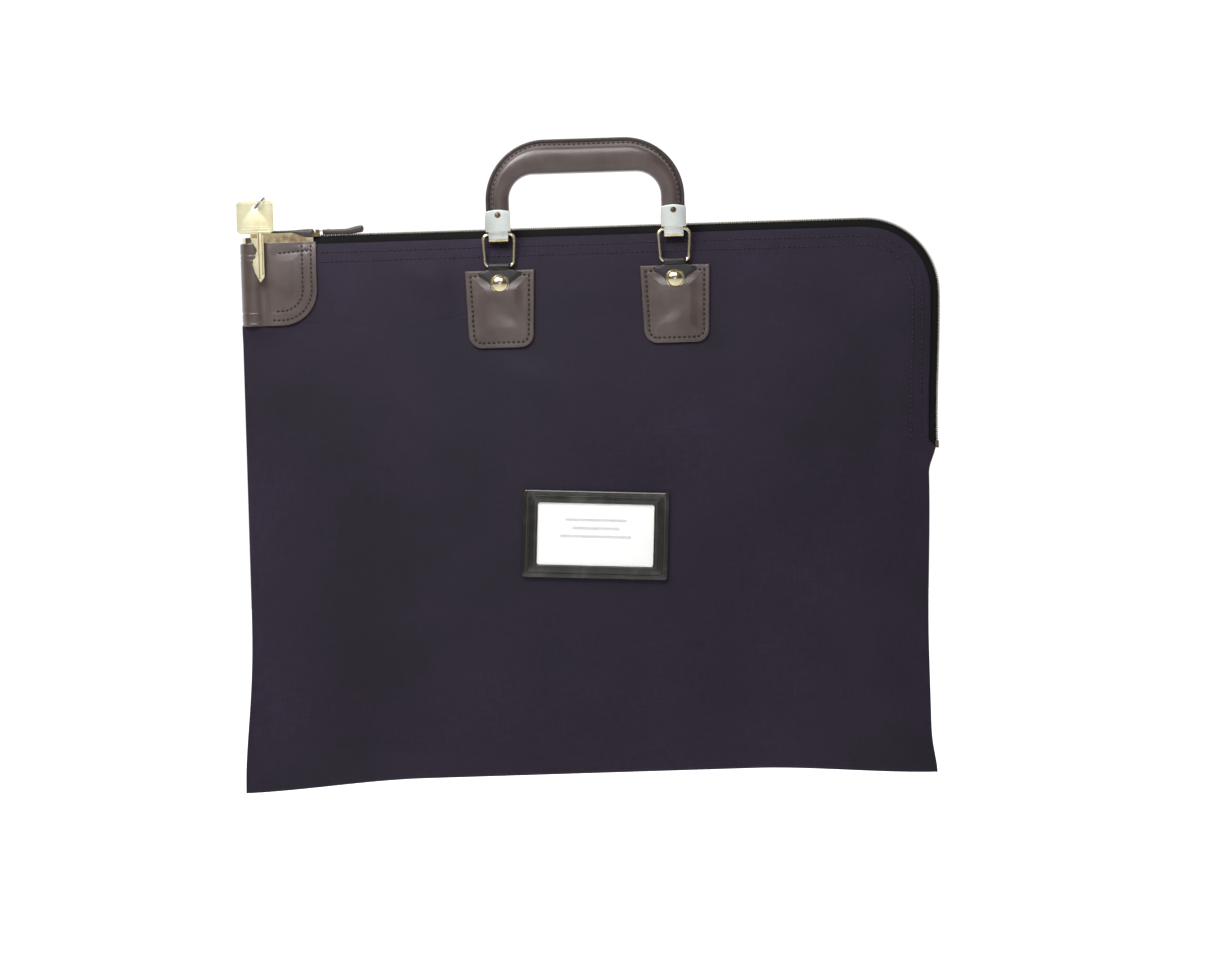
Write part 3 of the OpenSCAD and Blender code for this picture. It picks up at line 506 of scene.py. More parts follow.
class Tree:
    """One material's nodes, built from Python values."""

    def __init__(self, name: str, owner: bpy.types.World | None = None) -> None:
        """Starts a material, or a world that is given, with an empty tree."""
        self.material = owner or bpy.data.materials.new(name)
        self.material.use_nodes = True
        self.nodes = self.material.node_tree.nodes
        self.nodes.clear()

    def add(
        self, kind: str, settings: dict | None = None, inputs: dict | None = None, out: int | str | None = 0
    ) -> Value | None:
        """Adds a node: settings first, then its sockets' values or links.

        Args:
            kind: the node's type.
            settings: its properties, such as a Math node's operation.
            inputs: socket name or number to a Value or a constant.
            out: the output that is returned, or None for a node that has none.

        Returns:
            The chosen output.
        """
        node = self.nodes.new(kind)
        for key, value in (settings or {}).items():
            setattr(node, key, value)
        for key, value in (inputs or {}).items():
            if isinstance(value, Value):
                self.material.node_tree.links.new(value.socket, node.inputs[key])
            else:
                node.inputs[key].default_value = value
        return None if out is None else Value(self, node.outputs[out])

    def place(self) -> Value:
        """Object coordinates, in metres."""
        return self.add("ShaderNodeTexCoord", out="Object")

    def split(self, vector: Value) -> tuple[Value, Value, Value]:
        """The three numbers of a vector."""
        x = self.add("ShaderNodeSeparateXYZ", {}, {"Vector": vector}, "X")
        return x, x.beside("Y"), x.beside("Z")

    def noise(self, scale: float, detail: float, rough: float, stretch: tuple = (1, 1, 1)) -> Value:
        """Noise over Object coordinates, about 0 to 1."""
        where = self.add("ShaderNodeMapping", {}, {"Vector": self.place(), "Scale": stretch})
        sockets = {"Vector": where, "Scale": scale, "Detail": detail, "Roughness": rough}
        return self.add("ShaderNodeTexNoise", {}, sockets)

    def cells(self, scale: float) -> Value:
        """Distance to the edges of Voronoi cells over Object coordinates."""
        sockets = {"Vector": self.place(), "Scale": scale}
        return self.add("ShaderNodeTexVoronoi", {"feature": "DISTANCE_TO_EDGE"}, sockets)

    def blend(self, share: Value | float, a: Value | tuple, b: Value | tuple) -> Value:
        """Mixes two colours."""
        first, second = (c if isinstance(c, Value) else (*c, 1.0) for c in (a, b))
        return self.add("ShaderNodeMix", {"data_type": "RGBA"}, {0: share, 6: first, 7: second}, 2)

    def relief(self, height: Value, depth_mm: float, strength: float) -> Value:
        """A Bump node's normal from a height of 0 to 1, depth_mm deep."""
        sockets = {"Height": height, "Distance": depth_mm / 1000, "Strength": strength}
        return self.add("ShaderNodeBump", {}, sockets, "Normal")

    def finish(self, shader_inputs: dict) -> bpy.types.Material:
        """Adds the Principled shader and the output."""
        shader = self.add("ShaderNodeBsdfPrincipled", {}, shader_inputs)
        return self.end(shader, "ShaderNodeOutputMaterial")

    def end(self, shader: Value, kind: str) -> bpy.types.Material:
        """Ends the tree in an output node of the kind given."""
        self.add(kind, {}, {"Surface": shader}, None)
        return self.material


# ---------------------------------------------------------------- finishes


@dataclass(frozen=True)
class Nylon:
    """Fine plain-woven nylon: two thread waves cross, with a soft sheen and uneven dye."""

    name: str = "nylon"
    dark: tuple = (0.0135, 0.0092, 0.0185)
    light: tuple = (0.036, 0.0245, 0.048)
    faded: tuple = (0.0135, 0.0135, 0.0155)
    thread_mm: float = 0.85

    def material(self) -> bpy.types.Material:
        """Height is the product of two crossed sine waves; colour follows height and noise."""
        t = Tree(self.name)
        x, _, z = t.split(t.place())
        turns = 2 * math.pi / (self.thread_mm / 1000)
        warp, weft = (x * turns).sin(), (z * turns).sin()
        upright = t.noise(420.0, 2.0, 0.6, (1.6, 1, 0.25))
        level = t.noise(420.0, 2.0, 0.6, (0.25, 1, 1.6))
        slub = level * 0.5 + upright * 0.5
        weave = warp * weft * 0.25 + 0.5
        cloudy = t.noise(7.0, 2.0, 0.5)
        tone = (weave * 0.35 + slub * 0.55 + cloudy * 0.45).above(0.35, 1.0)
        worn = t.noise(4.5, 3.0, 0.55, (1, 1, 1.6)).above(0.38, 0.64)
        colour = t.blend(worn * 0.45, t.blend(tone, self.dark, self.light), self.faded)
        rough = 0.62 + slub * 0.2
        height = weave * 0.6 + slub * 0.6
        return t.finish({
            "Base Color": colour, "Roughness": rough, "Normal": t.relief(height, 0.14, 0.6),
            "Sheen Weight": 0.12, "Sheen Roughness": 0.4, "Sheen Tint": (0.6, 0.5, 0.8, 1.0),
            "Specular IOR Level": 0.2,
        })


@dataclass(frozen=True)
class Leather:
    """Satin leather: pebbled cells, fine creases, darker pores and lighter worn patches."""

    name: str
    deep: tuple
    worn: tuple
    rough: float
    coat: float = 0.2
    grain: float = 1150.0
    depth_mm: float = 0.07

    def material(self) -> bpy.types.Material:
        """Height is the distance to the cells' edges, with noise on it."""
        t = Tree(self.name)
        cell = t.cells(self.grain)
        pores = cell.above(0.0, 0.16)
        soft = t.noise(60.0, 3.0, 0.6)
        broad = t.noise(16.0, 2.0, 0.5)
        tone = soft * 0.55 + broad * 0.6 + pores * 0.15
        colour = t.blend(tone.above(0.35, 0.95), self.deep, self.worn)
        rough = self.rough + soft * 0.16 - pores * 0.04
        height = pores * 0.7 + t.noise(900.0, 2.0, 0.6) * 0.35
        return t.finish({
            "Base Color": colour, "Roughness": rough, "Normal": t.relief(height, self.depth_mm, 0.55),
            "Coat Weight": self.coat, "Coat Roughness": 0.3, "Specular IOR Level": 0.5,
        })


@dataclass(frozen=True)
class Metal:
    """Plated metal: faint drawn lines, handling marks and a duller film in patches."""

    name: str
    bright: tuple
    dull: tuple
    rough: float = 0.2
    scratch: tuple = (1, 1, 14)

    def material(self) -> bpy.types.Material:
        """Roughness and colour follow stretched noise and broad patches."""
        t = Tree(self.name)
        lines = t.noise(900.0, 2.0, 0.6, self.scratch)
        film = t.noise(90.0, 3.0, 0.6)
        colour = t.blend(film.above(0.42, 0.75), self.bright, self.dull)
        rough = self.rough + film * 0.14 + lines * 0.08
        return t.finish({
            "Base Color": colour, "Metallic": 1.0, "Roughness": rough, "Normal": t.relief(lines, 0.012, 0.4),
        })


@dataclass(frozen=True)
class Thread:
    """Twisted waxed thread."""

    name: str = "thread"
    dark: tuple = (0.006, 0.004, 0.004)
    light: tuple = (0.022, 0.015, 0.014)

    def material(self) -> bpy.types.Material:
        """A slanted wave gives the twist."""
        t = Tree(self.name)
        x, _, z = t.split(t.place())
        twist = ((x + z) * 9000.0).sin() * 0.5 + 0.5
        return t.finish({
            "Base Color": t.blend(twist, self.dark, self.light), "Roughness": 0.6,
            "Normal": t.relief(twist, 0.08, 0.5),
        })


@dataclass(frozen=True)
class Vinyl:
    """Glossy vinyl with a faint orange-peel and a few smears."""

    name: str = "vinyl"
    colour: tuple = (0.020, 0.019, 0.017)
    smeared: tuple = (0.075, 0.072, 0.062)

    def material(self) -> bpy.types.Material:
        """Slow noise bends the gloss; finer noise roughens it."""
        t = Tree(self.name)
        smear = t.noise(45.0, 3.0, 0.6)
        return t.finish({
            "Base Color": t.blend(smear.above(0.4, 0.8), self.colour, self.smeared),
            "Roughness": 0.1 + smear * 0.14, "Normal": t.relief(t.noise(700.0, 2.0, 0.5), 0.05, 0.5),
            "Specular IOR Level": 0.6,
        })


@dataclass(frozen=True)
class ClearFilm:
    """Thin clear film: mostly see-through, with a glossy skin."""

    name: str = "clear_film"

    def material(self) -> bpy.types.Material:
        """Low alpha with a smeared gloss."""
        t = Tree(self.name)
        smear = t.noise(30.0, 2.0, 0.5)
        return t.finish({
            "Base Color": (0.97, 0.98, 0.97, 1.0), "Roughness": 0.06 + smear * 0.08,
            "Alpha": 0.07 + smear * 0.03, "Specular IOR Level": 0.7,
        })


@dataclass(frozen=True)
class CardStock:
    """White card with a faint tooth and three plain grey bars, and a painted glow that makes the white
    brighter.
    """

    name: str = "card_stock"
    white: tuple = (0.98, 0.98, 0.96)
    ink: tuple = (0.42, 0.42, 0.42)
    turn: float = 3.2
    bars: tuple = ((0.0105, 0.0225), (0.0045, 0.0175), (-0.0015, 0.026))

    def material(self) -> bpy.types.Material:
        """Each bar is a pair of steps along the card's own two directions."""
        t = Tree(self.name)
        x, _, z = t.split(t.place())
        c, s = math.cos(math.radians(self.turn)), math.sin(math.radians(self.turn))
        cx, _, cz = (float(value) for value in PLACE([[0.0, 0.0, 175.0]])[0])
        u = (x - cx) * c - (z - cz) * s
        v = (x - cx) * s + (z - cz) * c
        ink: Value | float = 0.0
        for mid, half in self.bars:
            along = (u + half).above(0.0, 0.0004) * (half - u).above(0.0, 0.0004)
            across = (v - mid + 0.0011).above(0.0, 0.0003) * (mid + 0.0011 - v).above(0.0, 0.0003)
            ink = along * across + ink
        broken = ink * t.noise(1500.0, 1.0, 0.5).above(0.25, 0.6)
        tooth = t.noise(2500.0, 2.0, 0.5)
        # The emission is a painted glow: the card lights itself, less over the grey bars.
        return t.finish({
            "Base Color": t.blend(broken * 0.75, self.white, self.ink), "Roughness": 0.5 + tooth * 0.2,
            "Normal": t.relief(tooth, 0.02, 0.4), "Emission Strength": 0.14,
            "Emission Color": t.blend(broken, (1.0, 1.0, 1.0), (0.3, 0.3, 0.3)),
        })


@dataclass(frozen=True)
class Tape:
    """Herringbone zipper tape."""

    name: str = "zipper_tape_cloth"
    dark: tuple = (0.003, 0.003, 0.003)
    light: tuple = (0.011, 0.010, 0.011)

    def material(self) -> bpy.types.Material:
        """Slanted ribs that turn over along the tape's middle."""
        t = Tree(self.name)
        x, _, z = t.split(t.place())
        ribs = ((x + z) * 7000.0).sin() * 0.5 + 0.5
        cross = ((x - z) * 7000.0).sin() * 0.5 + 0.5
        height = ribs * cross
        return t.finish({
            "Base Color": t.blend(height, self.dark, self.light), "Roughness": 0.8,
            "Normal": t.relief(height, 0.12, 0.6), "Specular IOR Level": 0.2,
        })


class Finish(Enum):
    """The finishes that pieces choose from."""

    NYLON = Nylon()
    LEATHER = Leather("brown_leather", (0.043, 0.026, 0.022), (0.096, 0.069, 0.062), rough=0.27, coat=0.65)
    DARK = Leather("dark_leather", (0.020, 0.012, 0.011), (0.050, 0.033, 0.030), rough=0.38)
    BRASS = Metal("brass", (0.90, 0.80, 0.54), (0.62, 0.50, 0.28), 0.1)
    ANTIQUE = Metal("antique_brass", (0.20, 0.155, 0.095), (0.05, 0.038, 0.026), 0.34)
    RAIL = Metal("rail_brass", (0.80, 0.66, 0.42), (0.22, 0.14, 0.08), 0.2, (0.05, 1, 1))
    # Darker metal for the key's groove sheets: painted shade of the milled grooves.
    GROOVE = Metal("tarnished_groove", (0.50, 0.37, 0.20), (0.20, 0.13, 0.07), 0.35, (1, 1, 0.08))
    # Near-black leather for the chapes: their dark leather with painted shadow of the gaps beside them.
    BLACK = Leather("chape_leather_painted_shadow", (0.006, 0.005, 0.005), (0.020, 0.016, 0.016), rough=0.36)
    RING_STEEL = Metal("ring_steel", (0.22, 0.22, 0.25), (0.10, 0.10, 0.11), 0.3)
    GOLD_WIRE = Metal("gold_wire", (0.88, 0.79, 0.55), (0.66, 0.55, 0.30), 0.14)
    KEY = Metal("key_brass", (0.95, 0.90, 0.62), (0.80, 0.72, 0.45), 0.28, (1, 1, 0.08))
    NICKEL = Metal("nickel", (0.92, 0.97, 0.94), (0.84, 0.89, 0.85), 0.2)
    STEEL = Metal("steel", (0.55, 0.56, 0.56), (0.35, 0.35, 0.35), 0.25)
    THREAD = Thread()
    NAVY_THREAD = Thread("navy_thread", (0.006, 0.006, 0.009), (0.022, 0.02, 0.03))
    VINYL = Vinyl()
    CLEAR = ClearFilm()
    CARD = CardStock()
    TAPE = Tape()


class Wardrobe:
    """Makes each finish's material once and puts it on pieces."""

    made: dict[Finish, bpy.types.Material] = {}

    @classmethod
    def material(cls, finish: Finish) -> bpy.types.Material:
        """The finish's material, made when it is first asked for."""
        if finish not in cls.made:
            cls.made[finish] = finish.value.material()
        return cls.made[finish]

    @classmethod
    def dress(cls, piece: bpy.types.Object, finish: Finish) -> None:
        """Gives a piece one material all over."""
        piece.data.materials.clear()
        piece.data.materials.append(cls.material(finish))


def put(piece: bpy.types.Object, body: str, finish: Finish, slot: str, *nodes: str) -> bpy.types.Object:
    """Dresses a piece, rides it on its body and hides the CAD nodes it stands for."""
    Wardrobe.dress(piece, finish)
    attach(piece, body)
    if nodes:
        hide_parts(*nodes)
    log.info("piece %s: %d faces", piece.name, len(piece.data.polygons))
    return piece


# ---------------------------------------------------------------- more shapes


def plate(name: str, loops: Sequence[Array], y: float, thick: float, edge: float = 0.2) -> bpy.types.Object:
    """A flat plate that faces the front, with rounded edges, from an outline and its holes.

    Args:
        name: the piece's name.
        loops: (n, 2) outlines of x and z; the later ones are holes.
        y: the plate's middle plane.
        thick: its whole thickness.
        edge: the radius of its edges.

    Returns:
        The plate as a mesh.
    """
    curve = bpy.data.curves.new(name, "CURVE")
    curve.dimensions, curve.fill_mode = "2D", "BOTH"
    curve.extrude, curve.bevel_depth, curve.bevel_resolution = thick / 2 - edge, edge, 3
    curve.offset = -edge
    for loop in loops:
        spline = curve.splines.new("POLY")
        spline.points.add(len(loop) - 1)
        flat = np.column_stack([loop, np.zeros(len(loop)), np.ones(len(loop))])
        spline.points.foreach_set("co", flat.ravel())
        spline.use_cyclic_u = True
    holder = bpy.data.objects.new(name + "_curve", curve)
    bpy.context.scene.collection.objects.link(holder)
    bpy.context.view_layer.update()
    data = bpy.data.meshes.new_from_object(holder.evaluated_get(bpy.context.evaluated_depsgraph_get()))
    bpy.data.objects.remove(holder)
    flat = np.empty(len(data.vertices) * 3)
    data.vertices.foreach_get("co", flat)
    across, up, out = flat.reshape(-1, 3).T
    data.vertices.foreach_set("co", PLACE(places(across, y - out, up)).ravel())
    data.materials.clear()
    made = bpy.data.objects.new(name, data)
    bpy.context.scene.collection.objects.link(made)
    outward(made)
    made.data.shade_smooth()
    made.data.set_sharp_from_angle(angle=math.radians(40))
    return made


def lathe(name: str, profile: Array, centre: tuple, sides: int = 40) -> bpy.types.Object:
    """A turned piece: profile (n, 2) of radius and distance towards the front, from end to end."""
    a = round_the_clock(sides)
    r, forward = profile[:, :1], profile[:, 1:]
    return outward(tube_mesh(name, places(r * np.cos(a), -forward, r * np.sin(a)) + np.array(centre)))


def rounded_box(cx: float, cz: float, w: float, h: float, r: float, n: int = 7) -> Array:
    """Outline of a rectangle with rounded corners."""
    a, b = w / 2 - r, h / 2 - r
    corners = [(a, b, 0), (-a, b, 90), (-a, -b, 180), (a, -b, 270)]
    return np.vstack([arc(cx + x, cz + z, r, start, start + 90, n) for x, z, start in corners])


def far_from(xz: Array, outline: Array) -> Array:
    """Distance of each place to the nearest point of an outline."""
    flat = xz.reshape(-1, 2)
    return np.min(np.linalg.norm(flat[:, None] - outline[None], axis=2), axis=1).reshape(xz.shape[:-1])


# ---------------------------------------------------------------- studio


@dataclass
class Studio:
    """The camera, the lights, the floor and the white surroundings."""

    centre: tuple[float, float] = (9.5, 210.6)
    view_w: float = 891.0
    distance: float = 2600.0
    roll: float = -1.8
    floor_z: float = -155.0

    def camera(self) -> None:
        """Looks straight at the front: the lens is 36 mm times the distance over the view's width."""
        data = bpy.data.cameras.new("camera")
        data.sensor_width, data.lens = 36.0, 36.0 * self.distance / self.view_w
        eye = bpy.data.objects.new("camera", data)
        bpy.context.scene.collection.objects.link(eye)
        place = PLACE([[self.centre[0], -self.distance, self.centre[1]]])[0]
        turn = Matrix.Rotation(math.radians(90), 4, "X") @ Matrix.Rotation(math.radians(self.roll), 4, "Z")
        eye.matrix_world = Matrix.Translation(place) @ turn
        bpy.context.scene.camera = eye

    def lamp(self, name: str, at: tuple, size: float, watts: float, aim: tuple = (0, 0, 210)) -> None:
        """A square soft light at a place in millimetres, turned to its aim."""
        data = bpy.data.lights.new(name, "AREA")
        data.size, data.energy = size, watts
        made = bpy.data.objects.new(name, data)
        bpy.context.scene.collection.objects.link(made)
        spot, goal = PLACE([at, aim])
        direction = Vector(goal - spot)
        made.visible_camera = False
        made.matrix_world = Matrix.Translation(spot) @ direction.to_track_quat("-Z", "Y").to_matrix().to_4x4()

    def surroundings(self) -> None:
        """White from behind and above, greyer from the front, where the room is."""
        world = bpy.data.worlds.new("room")
        world.use_nodes = True
        bpy.context.scene.world = world
        t = Tree("room", world)
        _, y, z = t.split(t.add("ShaderNodeTexCoord", out="Generated"))
        power = y.above(-0.22, 0.1) * 1.0 + z.above(0.2, 0.9) * 0.15 + 0.05
        sky = t.add("ShaderNodeBackground", {}, {"Color": (1, 1, 1, 1), "Strength": power})
        t.end(sky, "ShaderNodeOutputWorld")

    def floor(self) -> None:
        """A wide round floor below the bag, a faint glow keeping it white."""
        a = round_the_clock(64)
        r = np.array([1.0, 900.0, 2200.0, 9000.0])[:, None]
        rings = places(r * np.cos(a), r * np.sin(a), self.floor_z)
        made = make_mesh("floor", rings.reshape(-1, 3), grid_faces(4, 64, close_cols=True)[:, ::-1])
        t = Tree("floor_paint")
        tone = t.noise(3.0, 2.0, 0.5)
        _, y, _ = t.split(t.place())
        glow = y.above(-0.25, 0.15)
        made.data.materials.append(t.finish({
            "Base Color": t.blend(tone, (0.80, 0.80, 0.80), (0.84, 0.84, 0.84)), "Roughness": 0.8,
            "Emission Color": t.blend(glow, (0.02, 0.02, 0.02), (1.0, 1.0, 1.0)), "Emission Strength": 0.75,
        }))

    def build(self) -> None:
        """Makes everything but the camera."""
        scene = bpy.context.scene
        scene.view_settings.view_transform = "Standard"
        self.surroundings()
        self.floor()
        self.lamp("key", (-400, -540, 930), 0.42, 6.8, (-60, 0, 340))
        self.lamp("top", (40, -760, 960), 0.3, 2.4, (0, 0, 440))
        self.lamp("front", (0, -3200, 560), 1.0, 3.0)
        self.lamp("rear", (300, 1500, 900), 1.2, 8.0)


# ---------------------------------------------------------------- the bag


@dataclass
class Panels:
    """The two nylon faces: soft hills and creases that die out under the leather and at the edges."""

    columns: int = 230
    rows: int = 176
    thick: float = 0.85
    notch_z: float = 336.2
    notch_x: float = -233.0
    tab_x: float = 64.1
    swell: float = 1.6
    hills: tuple = (
        (-75, 330, 250, 14, -47, 2.6), (-160, 150, 120, 55, -40, -2.2), (150, 300, 90, 50, 20, 1.3),
        (200, 120, 24, 120, 4, 1.7), (110, 90, 110, 18, -18, 1.1), (-205, 60, 22, 80, 8, 1.3),
        (-20, 60, 150, 22, 6, 0.9), (-120, 255, 60, 10, -52, 0.9), (60, 235, 70, 16, 30, 0.6),
        (228, 225, 16, 60, -12, 1.5), (-225, 260, 12, 70, 3, 0.9), (30, 130, 26, 80, -62, 0.8),
        (150, 45, 60, 8, 8, 0.8), (-170, 25, 60, 8, -8, 0.9), (0, 350, 34, 8, 0, 0.5),
        (215, 40, 30, 10, 40, 1.0),
    )

    def calm(self, x: Array, z: Array) -> Array:
        """1 on open cloth, 0 under the tabs, the window, the lock corner and at the edges."""
        def outside(cx: float, cz: float, w: float, h: float, soft: float) -> Array:
            """0 in a rectangle and 1 further than soft from it."""
            d = np.maximum(np.abs(x - cx) - w / 2, np.abs(z - cz) - h / 2)
            return smooth(d / soft)

        sides = smooth((x - SHAPE.left(z)) / 26) * smooth((SHAPE.right(z) - x) / 26)
        edge = sides * smooth(z / 24) * smooth((SHAPE.hem_z - 8 - z) / 24)
        free = outside(self.tab_x, 345, 56, 66, 24) * outside(-self.tab_x, 345, 56, 66, 24)
        return edge * free * outside(45, 172, 202, 72, 34) * outside(-226, 366, 60, 66, 22)

    def rise(self, x: Array, z: Array, side: int) -> Array:
        """Height of the cloth's own shape: the sum of hills times calm, and puckers at the seams.

        A hill is its middle x and z, its two radii, its turn and its height. The back's are
        mirrored. Fine waves are sines whose phase is itself a sine.
        """
        mirrored = -side * x
        total = self.swell * sum(high * bump(mirrored, z, *hill) for *hill, high in self.hills)
        fine = 0.25 * np.sin(x / 23 + 2.0 * np.sin(z / 41))
        fine = fine + 0.2 * np.sin(z / 17 + 1.7 * np.sin(x / 37 + side))
        pucker = 0.16 * np.sin(x / 2.9 + np.sin(x / 11)) * np.exp(-(((SHAPE.hem_z - 14 - z) / 4.5) ** 2))
        seam = 0.35 * np.sin(x / 5.3 + 2 * np.sin(x / 31)) * np.exp(-(((z - 6) / 7) ** 2)) * smooth(z / 5)
        return (total + fine) * self.calm(x, z) + pucker + seam

    def face(self, name: str, side: int) -> bpy.types.Object:
        """One face: y is side times (half gap + rise), thickened inwards."""
        v = np.linspace(0, 1, self.rows)
        v = 0.72 * v + 0.28 * (1 - np.cos(np.pi * v)) / 2
        h = np.sort(np.concatenate([v * SHAPE.hem_z, [self.notch_z - 0.4, self.notch_z]]))[:, None]
        u = np.linspace(0, 1, self.columns)
        u = (0.6 * u + 0.4 * (1 - np.cos(np.pi * u)) / 2)[None]
        left = np.where(h > self.notch_z - 0.2, self.notch_x, SHAPE.left(h))
        x = left + (SHAPE.right(h) - left) * u
        z = h + SHAPE.seam(x) * (1 - h / SHAPE.hem_z) ** 2
        y = side * (SHAPE.half_gap(x, h) + self.rise(x, h, side))
        faces = grid_faces(*x.shape)
        made = make_mesh(name, places(x, y, z).reshape(-1, 3), faces if side < 0 else faces[:, ::-1])
        cloth = made.modifiers.new("cloth", "SOLIDIFY")
        cloth.thickness, cloth.offset = self.thick / 1000, -1
        return put(made, "bag", Finish.NYLON, "nylon", "front_panel" if side < 0 else "back_panel")

    def hem(self, name: str, side: int, depth: float, start: float) -> bpy.types.Object:
        """A row of stitches along the zipper, depth below the cloth's edge."""
        path, out = SHAPE.edge_path(start, SHAPE.zip_end_z + 4, 1.0)
        xz = path - out * depth
        points = on_panel(xz, side, self.rise(xz[:, 0], xz[:, 1], side))
        row = stitches(name, points, np.array([0, side, 0.0]), 2.3, 3.6, 0.6, -0.08)
        return put(row, "bag", Finish.NAVY_THREAD, "dark_leather")

    def build(self) -> None:
        """Both faces and their hem stitching."""
        for side, name in ((-1, "front"), (1, "back")):
            self.face(f"cloth_{name}", side)
            self.hem(f"hem_stitches_{name}", side, 6.5, -196)
            self.hem(f"fold_stitches_{name}", side, 13.5, -196)


@dataclass
class Zipper:
    """The interlocked teeth, the tapes, and the leather pull."""

    start: float = -209.0
    end_z: float = 236.0
    low: float = 5.0
    high: float = 7.0
    pitch: float = 1.35

    def teeth(self) -> bpy.types.Object:
        """Every tooth is a rounded bead that lies across the chain, alternately front and back."""
        path, out = SHAPE.edge_path(self.start, self.end_z, self.pitch)
        along = np.stack([out[:, 1], -out[:, 0]], 1)
        mid = path + out * (self.low + self.high) / 2
        side = np.where(np.arange(len(mid)) % 2, 0.55, -0.55)
        a = round_the_clock(8) + np.pi / 8
        ring_y = np.array([-1.65, -1.35, -0.5, 0.5, 1.35, 1.65])
        size = np.array([0.55, 0.95, 1.0, 1.0, 0.95, 0.55])
        t, n = 0.6 * np.cos(a), 1.05 * np.sin(a)
        round_bead = t[:, None] * along[:, None, None] + n[:, None] * out[:, None, None]
        xz = mid[:, None, None] + size[:, None, None] * round_bead
        y = (side[:, None] + ring_y)[..., None]
        points = places(xz[..., 0], y, xz[..., 1]).reshape(-1, 3)
        one = [tuple(f) for f in grid_faces(6, 8, close_cols=True)]
        one += [tuple(range(8)), tuple(range(47, 39, -1))]
        faces = [tuple(v + 48 * k for v in f) for k in range(len(mid)) for f in one]
        made = outward(make_mesh("zipper_teeth", points, faces))
        return put(made, "bag", Finish.ANTIQUE, "zipper_brass", "zipper_chain")

    def tape(self, side: int) -> bpy.types.Object:
        """A tape: a thin section swept along the hem that leans in to the chain at its top."""
        path, out = SHAPE.edge_path(self.start, self.end_z - 5.0, 2.0)
        depth = np.array([-9.0, -4.0, 0.0, 3.0, 4.9, 5.6, 5.6, 4.9, 3.0, 0.0, -4.0, -9.0])
        y = np.array([1.9, 1.95, 2.0, 1.9, 1.5, 1.2, 0.5, 0.7, 1.3, 1.5, 1.45, 1.4]) * side
        xz = path[:, None] + out[:, None] * depth[None, :, None]
        rings = places(xz[..., 0], y, xz[..., 1])
        name = "front" if side < 0 else "back"
        made = outward(tube_mesh(f"tape_{name}", rings))
        return put(made, "bag", Finish.TAPE, "tape", f"zipper_tape_{name}")

    def pull(self) -> bpy.types.Object:
        """The leather pull: flat by the link and curled up thick at its free end."""
        x = np.linspace(-193.0, -163.0, 34)
        t = (x - x[0]) / (x[-1] - x[0])
        half = 3.95 * np.minimum(1, np.sqrt(np.clip((1 - t) / 0.03, 0.05, 1))) * np.minimum(1, 0.72 + t * 2)
        mid = 403.0 + 1.7 * smooth((t - 0.55) / 0.45)
        thick = (1.8 + 0.7 * smooth((t - 0.5) / 0.35)) * np.clip(np.sqrt((1 - t) / 0.04 + 0.1), 0.3, 1)
        a = round_the_clock(20)
        across, up = keep_sign(np.cos(a), 0.4), keep_sign(np.sin(a), 0.55)
        rings = places(x[:, None], half[:, None] * across, mid[:, None] + thick[:, None] * up)
        made = outward(tube_mesh("leather_pull", rings))
        return put(made, "pull", Finish.DARK, "dark_leather", "pull_tab")

    def build(self) -> None:
        """Teeth, tapes and pull."""
        self.teeth()
        self.tape(-1)
        self.tape(1)
        self.pull()


